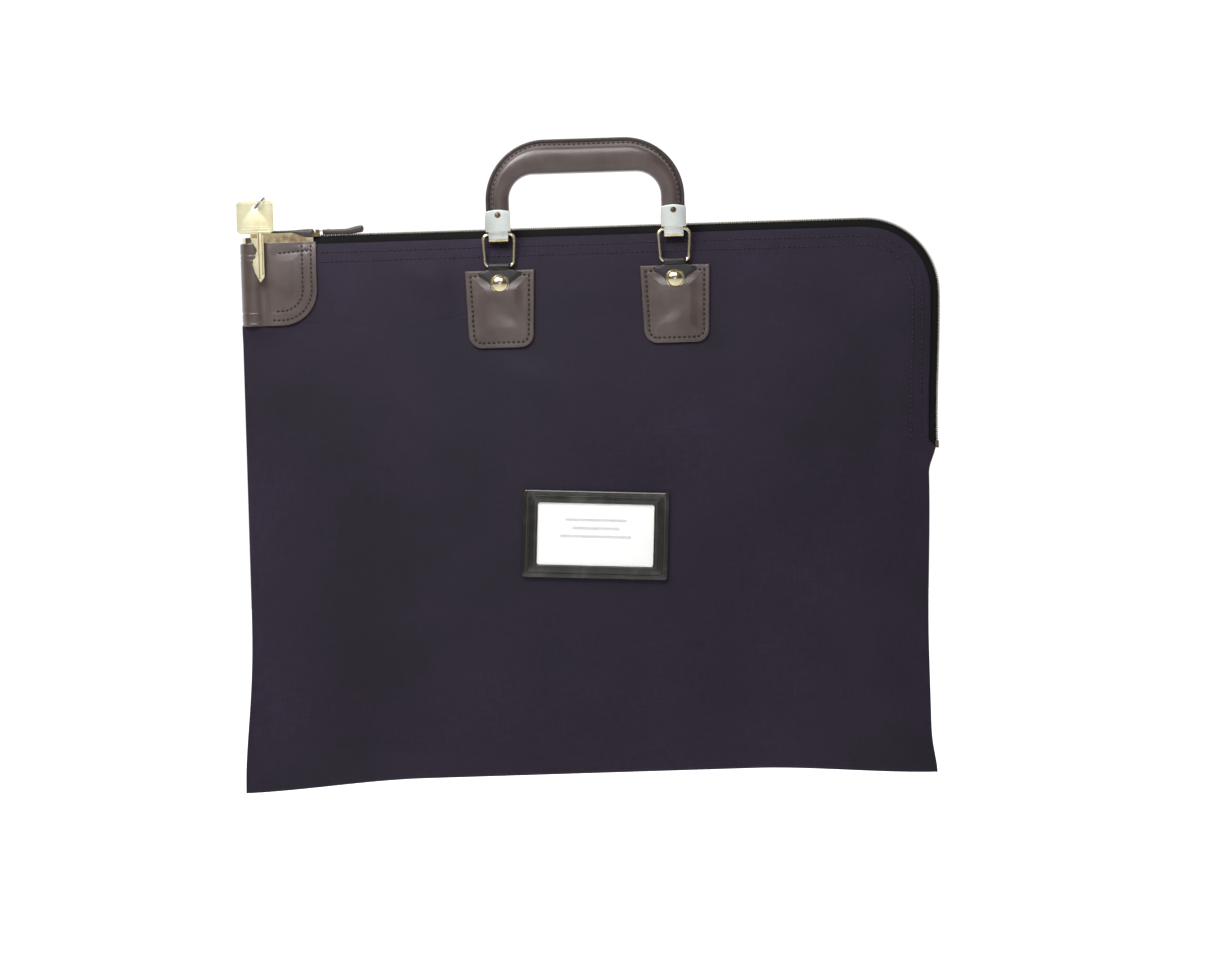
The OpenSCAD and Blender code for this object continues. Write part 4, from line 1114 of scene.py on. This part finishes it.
@dataclass
class LockCorner:
    """The leather corner: two sewn patches, the roll round the lock, and the strap on top."""

    left: float = -240.2
    right: float = -198.0
    top: float = 396.0
    low: float = 335.0
    round_r: float = 26.0
    roll_x: float = -245.0
    roll_r: float = 9.0

    def outline(self, d: float = 0.0) -> Array:
        """The patch's edge, moved in by d on its right and lower sides."""
        r = self.round_r - d
        right, low = self.right - d, self.low + d
        return np.vstack([
            [[self.left, low], [self.left, self.top], [right, self.top]],
            arc(right - r, low + r, r, 0, -90, 22),
        ])

    def face(self, name: str, side: int) -> None:
        """One patch with pressed stitch channels, and its three rows of stitches."""
        edge = resample(self.outline(), 0.8, True)
        rows = []
        for d in (4.0, 10.5):
            r = self.round_r - d
            down = np.array([[self.right - d, self.top - 1.5], [self.right - d, self.low + d + r]])
            bend = arc(self.right - d - r, self.low + d + r, r, 0, -90, 22)
            rows.append(np.vstack([down, bend, [[self.left + 10, self.low + d]]]))
        rows.append(np.array([[self.left + 14, self.top - 8.0], [self.right - 5, self.top - 6.5]]))
        rows = [resample(row, 0.7) for row in rows]
        channel = np.vstack(rows)

        def relief(xz: Array) -> Array:
            """A dip along the stitches, a low swell between them, and a valley by the roll."""
            d = far_from(xz, channel)
            dip, puff = -0.22 * np.exp(-((d / 1.1) ** 2)), 0.3 * smooth((d - 1.0) / 6)
            swell = 0.9 * bump(xz[..., 0], xz[..., 1], -214, 358, 10, 22, -12)
            valley = -1.5 * np.exp(-(((xz[..., 0] + 237.0) / 3.6) ** 2))
            return dip + puff + swell + valley

        leather = patch(f"corner_{name}", edge, side, 1.6, 0.7, 0.15, relief, 44)
        put(leather, "bag", Finish.LEATHER, "leather", f"corner_patch_{name}")
        sewn, up = [], np.array([0, side, 0.0])
        for k, row in enumerate(rows):
            path = on_panel(row, side, 0.15 + 1.6 + relief(row))
            sewn.append(stitches(f"corner_row_{name}_{k}", path, up, 2.1, 3.3, 0.62, -0.12))
        put(join(f"corner_stitches_{name}", sewn), "bag", Finish.THREAD, "dark_leather")

    def roll(self) -> None:
        """The roll: its radius dips at the pressed rings, with a lip at each end."""
        low_lip = np.linspace(self.low, self.low + 1.2, 5)
        middle = np.linspace(self.low + 1.4, self.top - 1.4, 110)
        z = np.concatenate([low_lip, middle, np.linspace(self.top - 1.2, self.top, 5)])
        pressed = ((387.5, 0.32), (384.2, 0.2), (345.0, 0.36), (337.6, 0.36))
        dip = sum(depth * np.exp(-(((z - at) / 0.55) ** 2)) for at, depth in pressed)
        into_lip = np.clip(1.2 - np.minimum(z - self.low, self.top - z), 0, 1.2) / 1.2
        lip = 1.0 - np.sqrt(np.clip(1 - into_lip**2, 0, 1))
        a = round_the_clock(64)
        r = (self.roll_r - dip - lip)[:, None] + 0.07 * np.sin(3 * a + z[:, None] / 17)
        rings = places(self.roll_x + r * np.cos(a), r * np.sin(a), z[:, None])
        inner = places(self.roll_x + 7.9 * np.cos(a), 7.9 * np.sin(a), self.top)
        well = inner - [0, 0, 3.0]
        made = outward(tube_mesh("corner_roll_leather", np.vstack([rings, inner[None], well[None]])))
        put(made, "bag", Finish.LEATHER, "leather", "corner_roll")

    def strap(self) -> None:
        """The leather strap over the lock's rail: thin at the left and rolled over at its right end."""
        x = np.linspace(-238.0, -199.2, 40)
        t = (x - x[0]) / (x[-1] - x[0])
        thick = 0.8 + 2.9 * smooth((t - 0.5) / 0.4)
        round_ends = np.clip(np.sqrt(np.minimum(t, 1 - t) / 0.03 + 0.12), 0.3, 1)
        half = (4.55 + 0.35 * smooth((t - 0.3) / 0.3)) * round_ends
        mid = 404.0 - 2.2 * smooth((t - 0.5) / 0.4)
        a = round_the_clock(24)
        across, up = keep_sign(np.cos(a), 0.45), keep_sign(np.sin(a), 0.55)
        thick = thick * np.minimum(1, half / 3)
        rings = places(x[:, None], half[:, None] * across, mid[:, None] + thick[:, None] * up)
        put(outward(tube_mesh("strap_leather", rings)), "bag", Finish.DARK, "dark_leather", "lock_strap")

    def build(self) -> None:
        """Both patches, the roll and the strap."""
        self.face("front", -1)
        self.face("back", 1)
        self.roll()
        self.strap()


@dataclass
class Key:
    """The stamped key and its wire ring."""

    x: float = -241.6
    y: float = -10.3
    shoulder: float = 402.6
    hole_z: float = 421.1
    ring_r: float = 5.2

    def outline(self) -> Array:
        """Head, shoulders and a blade with its bitting cut in the left edge."""
        head = rounded_box(self.x, self.shoulder + 12.5, 26.8, 25.0, 3.5)
        left = head[head[:, 0] < self.x]
        right = head[head[:, 0] >= self.x]
        cuts = np.array([
            [-3.9, 0.0], [-3.9, -2.2], [-2.7, -5.5], [-0.9, -9.2], [0.3, -11.0], [0.5, -13.2],
            [-0.6, -15.4], [-0.4, -17.4], [-2.2, -19.4], [-2.7, -22.6], [-2.0, -25.4], [-1.3, -28.0],
            [1.2, -33.2], [2.6, -36.0], [5.8, -31.8], [5.8, -1.2], [5.0, 0.0],
        ]) + [self.x, self.shoulder]
        upper_left = left[np.argsort(-left[:, 1])]
        lower_right = right[np.argsort(right[:, 1])]
        order = np.vstack([lower_right, upper_left])
        angle = np.arctan2(order[:, 1] - self.shoulder - 12.5, order[:, 0] - self.x)
        ring = order[np.argsort((angle + math.pi / 2) % (2 * math.pi))]
        return np.vstack([ring, cuts])

    def build(self) -> None:
        """The plate with two milled grooves, a raised field on the head, and the ring. The grooves and a
        patch at their top are thin dark sheets on the face, painted shade of the milled recesses.
        """
        face, head_z = self.y - 1.0, self.shoulder + 12.5
        hole = arc(self.x, self.hole_z, 2.6, 0, 345, 24)
        parts = [plate("key_blank", [self.outline(), hole], self.y, 2.0, 0.28)]
        grooves = []
        # Each groove is a thin dark sheet on the face, and its colour is painted shade of the milled recess.
        for x, w, low in ((self.x + 2.2, 1.0, 34.0), (self.x + 4.7, 0.8, 31.0)):
            cut = rounded_box(x, self.shoulder - low / 2 + 0.6, w, low, w / 2 - 0.02, 4)
            grooves.append(plate(f"groove_{w}", [cut], face + 0.01, 0.06, 0.02))
        # A dark patch where the grooves meet the shoulder: painted shade.
        shade = np.array([[-3.4, -0.3], [1.2, -0.3], [1.2, -3.6], [-2.9, -3.0]]) + [self.x, self.shoulder]
        grooves.append(plate("groove_top", [shade], face + 0.01, 0.06, 0.02))
        put(join("key_grooves", grooves), "key", Finish.GROOVE, "key_metal")
        rim = [rounded_box(self.x, head_z, 25.4, 23.6, 3.0), rounded_box(self.x, head_z, 23.9, 22.1, 2.4)]
        parts.append(plate("rim", rim, face, 0.3, 0.1))
        for z, w in ((3.2, 21.0), (5.0, 18.0)):
            bar = rounded_box(self.x, self.shoulder + z, w, 0.55, 0.25, 4)
            parts.append(plate(f"bar_{w}", [bar], face, 0.22, 0.08))
        put(join("key_plate", parts), "key", Finish.KEY, "key_metal", "key")
        lean = math.radians(45)
        s = np.linspace(0, 2 * np.pi * 1.94, 110)
        rise, reach = 0.55 * (s / (2 * np.pi) - 1), self.ring_r * (1 - np.cos(s))
        x = self.x + reach * math.sin(lean) + rise * math.cos(lean)
        z = self.hole_z + reach * math.cos(lean) - rise * math.sin(lean)
        path = places(x, self.y + self.ring_r * np.sin(s), z)
        put(round_wire("key_wire_ring", path, 0.34, 8), "key_ring", Finish.RING_STEEL, "nickel", "key_ring")


@dataclass
class Hangers:
    """The two sewn tabs, with their domed rivets, chapes and wire rings."""

    tab_x: float = 64.1
    tab_top: float = 370.4
    tab_h: float = 57.0
    tab_w: float = 51.0
    bend: float = 9.5
    taper: float = 2.0
    dome_z: float = 360.4
    ring_y: float = -10.234
    ring_z: float = 373.13
    ring_h: float = 23.4

    def half(self, z: Array, d: float) -> Array:
        """Half the tab's width, d in from its edge: tapered, with quarter circles at the bottom."""
        up = z - (self.tab_top - self.tab_h)
        bend = self.bend - d
        rise = np.maximum(0, bend - (up - d))
        taper = self.taper * (1 - up / self.tab_h)
        return self.tab_w / 2 - taper - self.bend + np.sqrt(np.maximum(0, bend**2 - rise**2))

    def outline(self, cx: float, d: float = 0.0) -> Array:
        """The tab's edge moved in by d, from its top right corner round to its top left one."""
        low, top = self.tab_top - self.tab_h + d, self.tab_top - d
        z = low + (top - low) * np.linspace(0, 1, 60) ** 2.2
        z = z[::-1]
        w = self.half(z, d)
        right = np.stack([cx + w, z], 1)
        left = np.stack([cx - w, z], 1)[::-1]
        return resample(np.vstack([left, right]), 0.8, True)

    def tab(self, name: str, side: int) -> None:
        """One tab: a pressed channel under its stitches, and a swell and a dent round the rivet."""
        cx = side * self.tab_x
        edge = self.outline(cx)
        seam = resample(self.outline(cx, 3.9), 0.6, True)

        def relief(xz: Array) -> Array:
            """A dip along the stitches; inside it a swell under the rivet and a slanting dent."""
            inside = smooth((far_from(xz, edge) - 4.2) / 11)
            x, z = xz[..., 0] - cx, xz[..., 1]
            swell = 0.75 * inside + 1.1 * bump(x, z, 0, 350, 14, 9) + 0.25 * bump(x, z, 4, 326, 18, 8)
            dent = 1.0 * bump(x, z, -side * 3.0, 339, 16, 5.5, 38 * side)
            return inside * (swell - dent) - 0.2 * np.exp(-((far_from(xz, seam) / 1.1) ** 2))

        leather = patch(f"tab_leather_{name}", edge, -1, 2.0, 0.8, 0.12, relief, 40)
        put(leather, "bag", Finish.LEATHER, "leather", f"tab_{name}")
        loop = np.vstack([seam, seam[:1]])
        seam3 = on_panel(loop, -1, 2.12 + relief(loop))
        row = stitches(f"tab_stitches_{name}", seam3, np.array([0, -1.0, 0]), 2.3, 3.6, 0.78, -0.05)
        put(row, "bag", Finish.THREAD, "dark_leather")

    def wedge(self, name: str, side: int) -> None:
        """The chape: a dark strap that wraps the ring's low bar and runs down to the rivet. Its near-black
        colour is dark leather with painted shadow, and it widens into a V at the tab's top over the shaded
        gaps there.
        """
        cx = side * self.tab_x
        a = np.radians(np.linspace(200, -150, 26))
        wrap = np.stack([self.ring_y + 2.2 * np.cos(a), self.ring_z + 2.2 * np.sin(a)], 1)
        down_z = np.linspace(self.tab_top + 0.6, self.dome_z - 3, 12)
        y_tab = -(SHAPE.half_gap(np.full(12, cx), down_z) + 2.75)
        tail = np.stack([y_tab, down_z], 1)[::-1]
        core = np.vstack([tail, [[self.ring_y - 1.9, self.ring_z - 1.3]], wrap[::-1][2:]])
        core = resample(core, 0.55)
        along = np.gradient(core, axis=0)
        along /= np.linalg.norm(along, axis=1, keepdims=True)
        nrm = np.stack([along[:, 1], -along[:, 0]], 1)
        low = self.dome_z - 3
        # The V at the tab's top is drawn wide, so that the chape's painted shadow covers the shaded gaps.
        spread = mix(7.0, 16.5, smooth((core[:, 1] - low - 2) / (self.tab_top - low - 3)))
        width = np.where(core[:, 1] < self.tab_top - 0.9, spread, 8.2)
        width = np.convolve(np.pad(width, 2, mode="edge"), np.ones(5) / 5, mode="valid")
        half_t = 0.55
        u = np.concatenate([np.linspace(-1, 1, 9), np.linspace(1, -1, 9)])
        w = np.repeat([1.0, -1.0], 9) * np.where(np.abs(u) > 0.99, 0.55, 1.0)
        y = core[:, :1] + nrm[:, :1] * half_t * w
        z = core[:, 1:] + nrm[:, 1:] * half_t * w
        made = outward(tube_mesh(f"chape_leather_{name}", places(cx + width[:, None] * u, y, z)))
        put(made, "bag", Finish.BLACK, "dark_leather", f"chape_{name}")

    def domes(self) -> None:
        """Bright domes with a rolled rim and a dark seat."""
        t = np.linspace(0, 1, 16)
        dome = np.stack([6.2 * np.cos(t * np.pi / 2), 0.9 + 3.3 * np.sin(t * np.pi / 2) ** 1.1], 1)
        seat = [[1.6, -3.5], [1.6, -0.6], [6.6, -0.6], [7.0, -0.2], [7.0, 0.35], [6.6, 0.8]]
        profile = np.vstack([seat, dome[:-1], [[0.02, 4.2]]])
        made = []
        for side in (-1, 1):
            y = -(float(SHAPE.half_gap(self.tab_x, self.dome_z)) + 3.1)
            made.append(lathe(f"dome_{side}", profile, (side * self.tab_x, y, self.dome_z)))
        put(join("dome_rivets", made), "bag", Finish.BRASS, "brass", "tab_rivets")

    def ring(self, name: str, side: int) -> None:
        """A bent wire ring, a little narrower at its foot."""
        cx, top, low, r = side * self.tab_x, 11.4, 10.4, 4.0
        z0, z1 = self.ring_z, self.ring_z + self.ring_h
        loop = np.vstack([
            arc(cx + top - r, z1 - r, r, 2, 90, 12), arc(cx - top + r, z1 - r, r, 90, 178, 12),
            arc(cx - low + r, z0 + r, r, 182, 270, 12), arc(cx + low - r, z0 + r, r, 270, 358, 12),
        ])
        loop = resample(loop, 0.9, True)
        made = wire(f"wire_ring_{name}", places(loop[:, 0], self.ring_y, loop[:, 1]), 1.05, 16)
        put(made, f"ring_{name}", Finish.GOLD_WIRE, "brass", f"ring_{name}")

    def build(self) -> None:
        """Everything on both sides."""
        for name, side in (("left", -1), ("right", 1)):
            self.tab(name, side)
            self.wedge(name, side)
            self.ring(name, side)
        self.domes()


@dataclass
class Handle:
    """The padded leather handle with its sewn outer edge, and the metal collars on its legs."""

    y: float = -10.234
    half_w: float = 72.7
    leg_in: float = 55.5
    outer_r: float = 44.0
    inner_r: float = 18.0
    top: float = 464.8
    grip_h: float = 25.5
    leg_low: float = 399.6
    leg_x: float = 64.1
    flange: float = 3.0
    fill: float = 0.8
    thin: float = 5.2
    fat: float = 8.5

    def stations(self) -> Array:
        """(n, 5): outer x and z, inner x and z, half thickness, from one leg over the grip."""
        ox, oz = self.half_w - self.outer_r, self.top - self.outer_r
        ix, iz = self.leg_in - self.inner_r, self.top - self.grip_h - self.inner_r

        def rows(*columns: Array | float) -> Array:
            """Stations from five columns that are spread to one length."""
            return np.stack(np.broadcast_arrays(*columns), 1)

        t = np.linspace(0, 1, 10)[:-1]
        leg = rows(self.half_w, mix(self.leg_low, oz, t), self.leg_in, mix(self.leg_low, iz, t), self.thin)
        a = np.radians(np.linspace(0, 90, 30))
        c, s = np.cos(a), np.sin(a)
        thick = mix(self.thin, self.fat, smooth(a / (np.pi / 2)))
        outer = ox + self.outer_r * c, oz + self.outer_r * s
        inner = ix + self.inner_r * c, iz + self.inner_r * s
        bend = rows(*outer, *inner, thick)
        t = np.linspace(0, 1, 16)[1:]
        grip = rows(ox * (1 - t), self.top, ix * (1 - t), self.top - self.grip_h, self.fat)
        half = np.vstack([leg, bend, grip])
        return np.vstack([half, (half[:-1] * [-1, 1, -1, 1, 1])[::-1]])

    def frames(self) -> tuple[Array, Array, Array, Array]:
        """Stations' outer points, inner points, unit directions outwards, half thicknesses."""
        s = self.stations()
        o, i = s[:, :2], s[:, 2:4]
        along = (o - i) / np.linalg.norm(o - i, axis=1, keepdims=True)
        return o, i, along, s[:, 4]

    def cover(self) -> None:
        """The padded cover: a full oval drawn out to the flat sewn edge.

        y = thickness * sin(a)^0.8, narrowed towards the edge as cos(a) nears 1.
        """
        o, i, along, thick = self.frames()
        a = round_the_clock(44)
        c, s = np.cos(a), np.sin(a)
        high = o - along * (self.flange - 0.6)
        mid, half = (i + high) / 2, np.linalg.norm(high - i, axis=1) / 2
        belly = keep_sign(s, 0.8) * (1 - 0.55 * smooth((c - 0.55) / 0.45))
        wave = 1 + 0.012 * np.sin(np.arange(len(o)) / 2.1)[:, None] * (1 - c) / 2
        y = self.y + thick[:, None] * belly * wave
        xz = mid[:, None] + along[:, None] * (half[:, None] * c)[..., None]
        made = outward(tube_mesh("handle_leather", places(xz[..., 0], y, xz[..., 1])))
        sub = made.modifiers.new("smooth", "SUBSURF")
        sub.levels = sub.render_levels = 1
        put(made, "handle", Finish.LEATHER, "leather", "handle_cover", "handle_padding")

    def edge(self) -> None:
        """The flat edge, two layers of leather with a dark painted groove between them."""
        o, _, along, _ = self.frames()
        prof_d = np.array([0.9, 0.35, 0.05, 0.0, 0.28, 0.0, 0.05, 0.35, 0.9, 4.0, 4.0])
        prof_y = np.array([1.35, 1.3, 0.9, 0.35, 0.0, -0.35, -0.9, -1.3, -1.35, -1.3, 1.3])
        xz = o[:, None] - along[:, None] * prof_d[:, None]
        made = outward(tube_mesh("handle_edge", places(xz[..., 0], self.y + prof_y, xz[..., 1])))
        put(made, "handle", Finish.DARK, "dark_leather", "handle_flange")

    def seam(self) -> None:
        """A row of stitches just inside the edge, on the front and on the back."""
        o, i, along, thick = self.frames()
        keep = slice(4, -4)
        rows = []
        for k, side in enumerate((-1, 1)):
            d = 4.4
            high = o - along * (self.flange - 0.6)
            half = np.linalg.norm(high - i, axis=1) / 2
            c = 1 - (d - self.flange + 0.6) / half
            s = np.sqrt(1 - c * c) ** 0.8 * (1 - 0.55 * smooth((c - 0.55) / 0.45))
            y = self.y + side * thick * s
            xz = high - along * (half * (1 - c))[:, None]
            path = np.stack([xz[:, 0], y, xz[:, 1]], 1)[keep]
            up = np.stack([along[:, 0] * 0.7, 0 * y + side, along[:, 1] * 0.7], 1)[keep]
            rows.append(stitches(f"handle_row_{k}", path, up, 2.3, 3.6, 0.6, 0.0))
        put(join("handle_stitches", rows), "handle", Finish.THREAD, "dark_leather")

    def bar(self, name: str, x: Array, z: float, half_y: float, half_z: float) -> bpy.types.Object:
        """An oval bar along x, across the handle's plane."""
        a = round_the_clock(18)
        rings = places(x[:, None], self.y + half_y * np.cos(a), z + half_z * np.sin(a))
        return outward(tube_mesh(name, rings))

    def collar(self, name: str, side: int) -> None:
        """A folded collar: arched front and back plates, rounded cheeks, and a tongue round the ring."""
        cx = side * self.leg_x
        w, low, high = 18.7, 398.2, 414.2
        half, tongue_low = w / 2, 392.6
        u = 1 - 2 * np.linspace(0, 1, 15)
        arch = np.stack([cx + half * u, high - 1.6 * u**2 - 0.1], 1)
        foot = np.array([[-half, low + 1.0], [1.0 - half, low], [half - 1.0, low], [half, low + 1.0]])
        face = np.vstack([foot + [cx, 0], arch])
        tongue = np.array([[-7, tongue_low], [7, tongue_low], [7, low + 0.8], [-7, low + 0.8]]) + [cx, 0]
        parts = [plate(f"face_{name}_{s}", [face], self.y + s * 5.72, 0.75, 0.16) for s in (-1, 1)]
        parts += [plate(f"tongue_{name}_{s}", [tongue], self.y + s * 2.1, 0.7, 0.12) for s in (-1, 1)]
        out = half - 0.3
        shelf = np.array([[-out, low], [out, low], [out, low + 0.7], [-out, low + 0.7]]) + [cx, 0]
        parts.append(plate(f"shelf_{name}", [shelf], self.y, 11.6, 0.15))
        put(join(f"collar_plates_{name}", parts), "handle", Finish.NICKEL, "nickel", f"collar_{name}")
        trim = []
        z, b = np.linspace(low + 0.6, high - 1.9, 12)[:, None], round_the_clock(14)
        for s in (-1, 1):
            across = cx + s * (half - 0.35) + 0.62 * np.cos(b)
            cheek = places(across, self.y + 5.75 * keep_sign(np.sin(b), 0.5), z)
            trim.append(outward(tube_mesh(f"cheek_{name}_{s}", cheek)))
        x = np.linspace(cx - 7.1, cx + 7.1, 12)
        trim.append(self.bar(f"fold_{name}", x, tongue_low + 0.3, 2.48, 2.35))
        trim.append(self.bar(f"bead_{name}", x, low - 0.1, 2.75, 0.45))
        put(join(f"collar_trim_{name}", trim), "handle", Finish.GOLD_WIRE, "brass")

    def rivets(self) -> None:
        """Small domed rivets through the collars."""
        t = np.linspace(0, 1, 9)
        dome = np.stack([1.95 * np.cos(t * np.pi / 2), 0.25 + 0.95 * np.sin(t * np.pi / 2)], 1)
        profile = np.vstack([[[1.1, -1.0], [2.1, -0.1], [2.15, 0.15]], dome[:-1], [[0.01, 1.2]]])
        made = []
        for side in (-1, 1):
            at = (side * self.leg_x, 410.2)
            made.append(lathe(f"pin_{side}", profile, (at[0], self.y - 6.05, at[1]), 24))
            made.append(lathe(f"pin_back_{side}", profile * [1, -1], (at[0], self.y + 6.05, at[1]), 24))
        put(join("collar_pins", made), "handle", Finish.ANTIQUE, "brass", "collar_rivets")

    def build(self) -> None:
        """The cover, its edge and stitches, and the collars."""
        self.cover()
        self.edge()
        self.seam()
        self.collar("left", -1)
        self.collar("right", 1)
        self.rivets()


@dataclass
class CardWindow:
    """The vinyl card holder: a sewn frame with a raised lip, a clear pane and a plain card."""

    cz: float = 175.0
    y: float = -16.06
    w: float = 106.4
    h: float = 64.2
    turn: float = -3.2
    open_w: float = 84.9
    open_h: float = 45.2

    def turned(self, piece: bpy.types.Object) -> bpy.types.Object:
        """Turns a piece's mesh by the window's tilt about the window's middle."""
        middle = Vector(PLACE([[0, self.y, self.cz]])[0])
        spin = Matrix.Rotation(math.radians(-self.turn), 4, "Y")
        piece.data.transform(Matrix.Translation(middle) @ spin @ Matrix.Translation(-middle))
        return piece

    def frame(self) -> None:
        """A hollow rounded band: its section swells towards the opening and has a pressed seam."""
        d = np.array([0, 0.15, 0.6, 2.6, 3.4, 3.9, 4.4, 5.2, 7.2, 8.6, 9.3, 9.6, 9.6, 0.4])
        up = np.array([0.5, 1.2, 1.75, 1.95, 1.85, 1.6, 1.85, 2.0, 2.25, 2.45, 2.2, 1.6, 1.3, 0.1])
        base = resample(rounded_box(0, self.cz, self.w, self.h, 2.0, 8), 1.2, True)
        scale = [self.open_w / self.w, self.open_h / self.h]
        opening = (base - [0, self.cz]) * scale + [0, self.cz]
        xz = mix(base, opening, (d / d.max())[:, None, None])
        rings = places(xz[..., 0], self.y - up[:, None], xz[..., 1])
        band = outward(loop_mesh("window_band", rings))
        put(self.turned(band), "bag", Finish.VINYL, "vinyl", "window_frame", "window_backing")
        under = rounded_box(0, self.cz, self.w - 1.0, self.h - 1.0, 1.6)
        back = plate("window_back", [under], self.y - 0.26, 0.5, 0.1)
        put(self.turned(back), "bag", Finish.VINYL, "vinyl")

    def sewing(self) -> None:
        """Stitches along the pressed seam, 3.9 mm in from the edge."""
        path = resample(rounded_box(0, self.cz, self.w - 8.6, self.h - 7.2, 1.0, 5), 0.6, True)
        path = np.vstack([path, path[:1]])
        points = places(path[:, 0], self.y - 1.62, path[:, 1])
        row = stitches("window_stitches", points, np.array([0, -1.0, 0]), 2.1, 3.0, 0.34, 0.0)
        put(self.turned(row), "bag", Finish.THREAD, "dark_leather")

    def sheets(self) -> None:
        """The card, and the clear pane over it, bowed by a fraction of a millimetre."""
        card = plate("card_sheet", [rounded_box(0, self.cz, 88.6, 50.4, 0.6)], self.y - 0.85, 0.35, 0.05)
        put(self.turned(card), "card", Finish.CARD, "card", "window_card")
        u, v = np.meshgrid(np.linspace(-1, 1, 40), np.linspace(-1, 1, 26))
        bow = 0.22 * (1 - u**2) * (1 - v**2) + 0.03 * np.sin(5 * u + 3 * v)
        x, z = u * 43.6, self.cz + v * 23.6
        sheet = np.stack([x, self.y - 1.22 - bow, z], -1)
        made = make_mesh("clear_pane", sheet.reshape(-1, 3), grid_faces(26, 40))
        film = made.modifiers.new("film", "SOLIDIFY")
        film.thickness, film.offset = 0.00012, 0
        put(self.turned(made), "bag", Finish.CLEAR, "clear", "window_pane")

    def build(self) -> None:
        """Frame, stitches, card and pane."""
        self.frame()
        self.sewing()
        self.sheets()


@dataclass
class HardParts:
    """Finishes for the metal and hidden parts that keep their own shape."""

    nodes: tuple[tuple[Finish, tuple[str, ...]], ...] = (
        (Finish.NYLON, ("seam_binding",)),
        (Finish.ANTIQUE, ("zipper_top_stop", "zipper_end_stop", "slider_body", "slider_hasp")),
        (Finish.RAIL, ("lock_rail",)),
        (Finish.BRASS, ("lock_barrel", "lock_plug", "lock_wafers", "pull_link", "pull_rivet")),
        (Finish.STEEL, ("lock_case", "plug_cam", "lock_bolt", "bolt_spring", "handle_core")),
        (Finish.NICKEL, ("rivet_washers",)),
        (Finish.DARK, ("tab_backings",)),
    )

    def dress(self) -> None:
        """Puts each node's finish in the material slots of its objects."""
        for finish, nodes in self.nodes:
            for made in [o for o in bpy.data.objects if o.type == "MESH" and o.name.split(".")[0] in nodes]:
                for slot in made.material_slots:
                    slot.material = Wardrobe.material(finish)
                log.info("dressed %s", made.name)


def main() -> None:
    """Builds the studio and then every part of the bag, in order."""
    studio = Studio()
    studio.camera()
    studio.build()
    for part in (Panels(), Zipper(), LockCorner(), Key(), Hangers(), Handle(), CardWindow()):
        log.info("building %s", type(part).__name__)
        part.build()
    HardParts().dress()


if __name__ == "__main__":
    logging.basicConfig(level=logging.INFO, format="%(message)s")
    main()
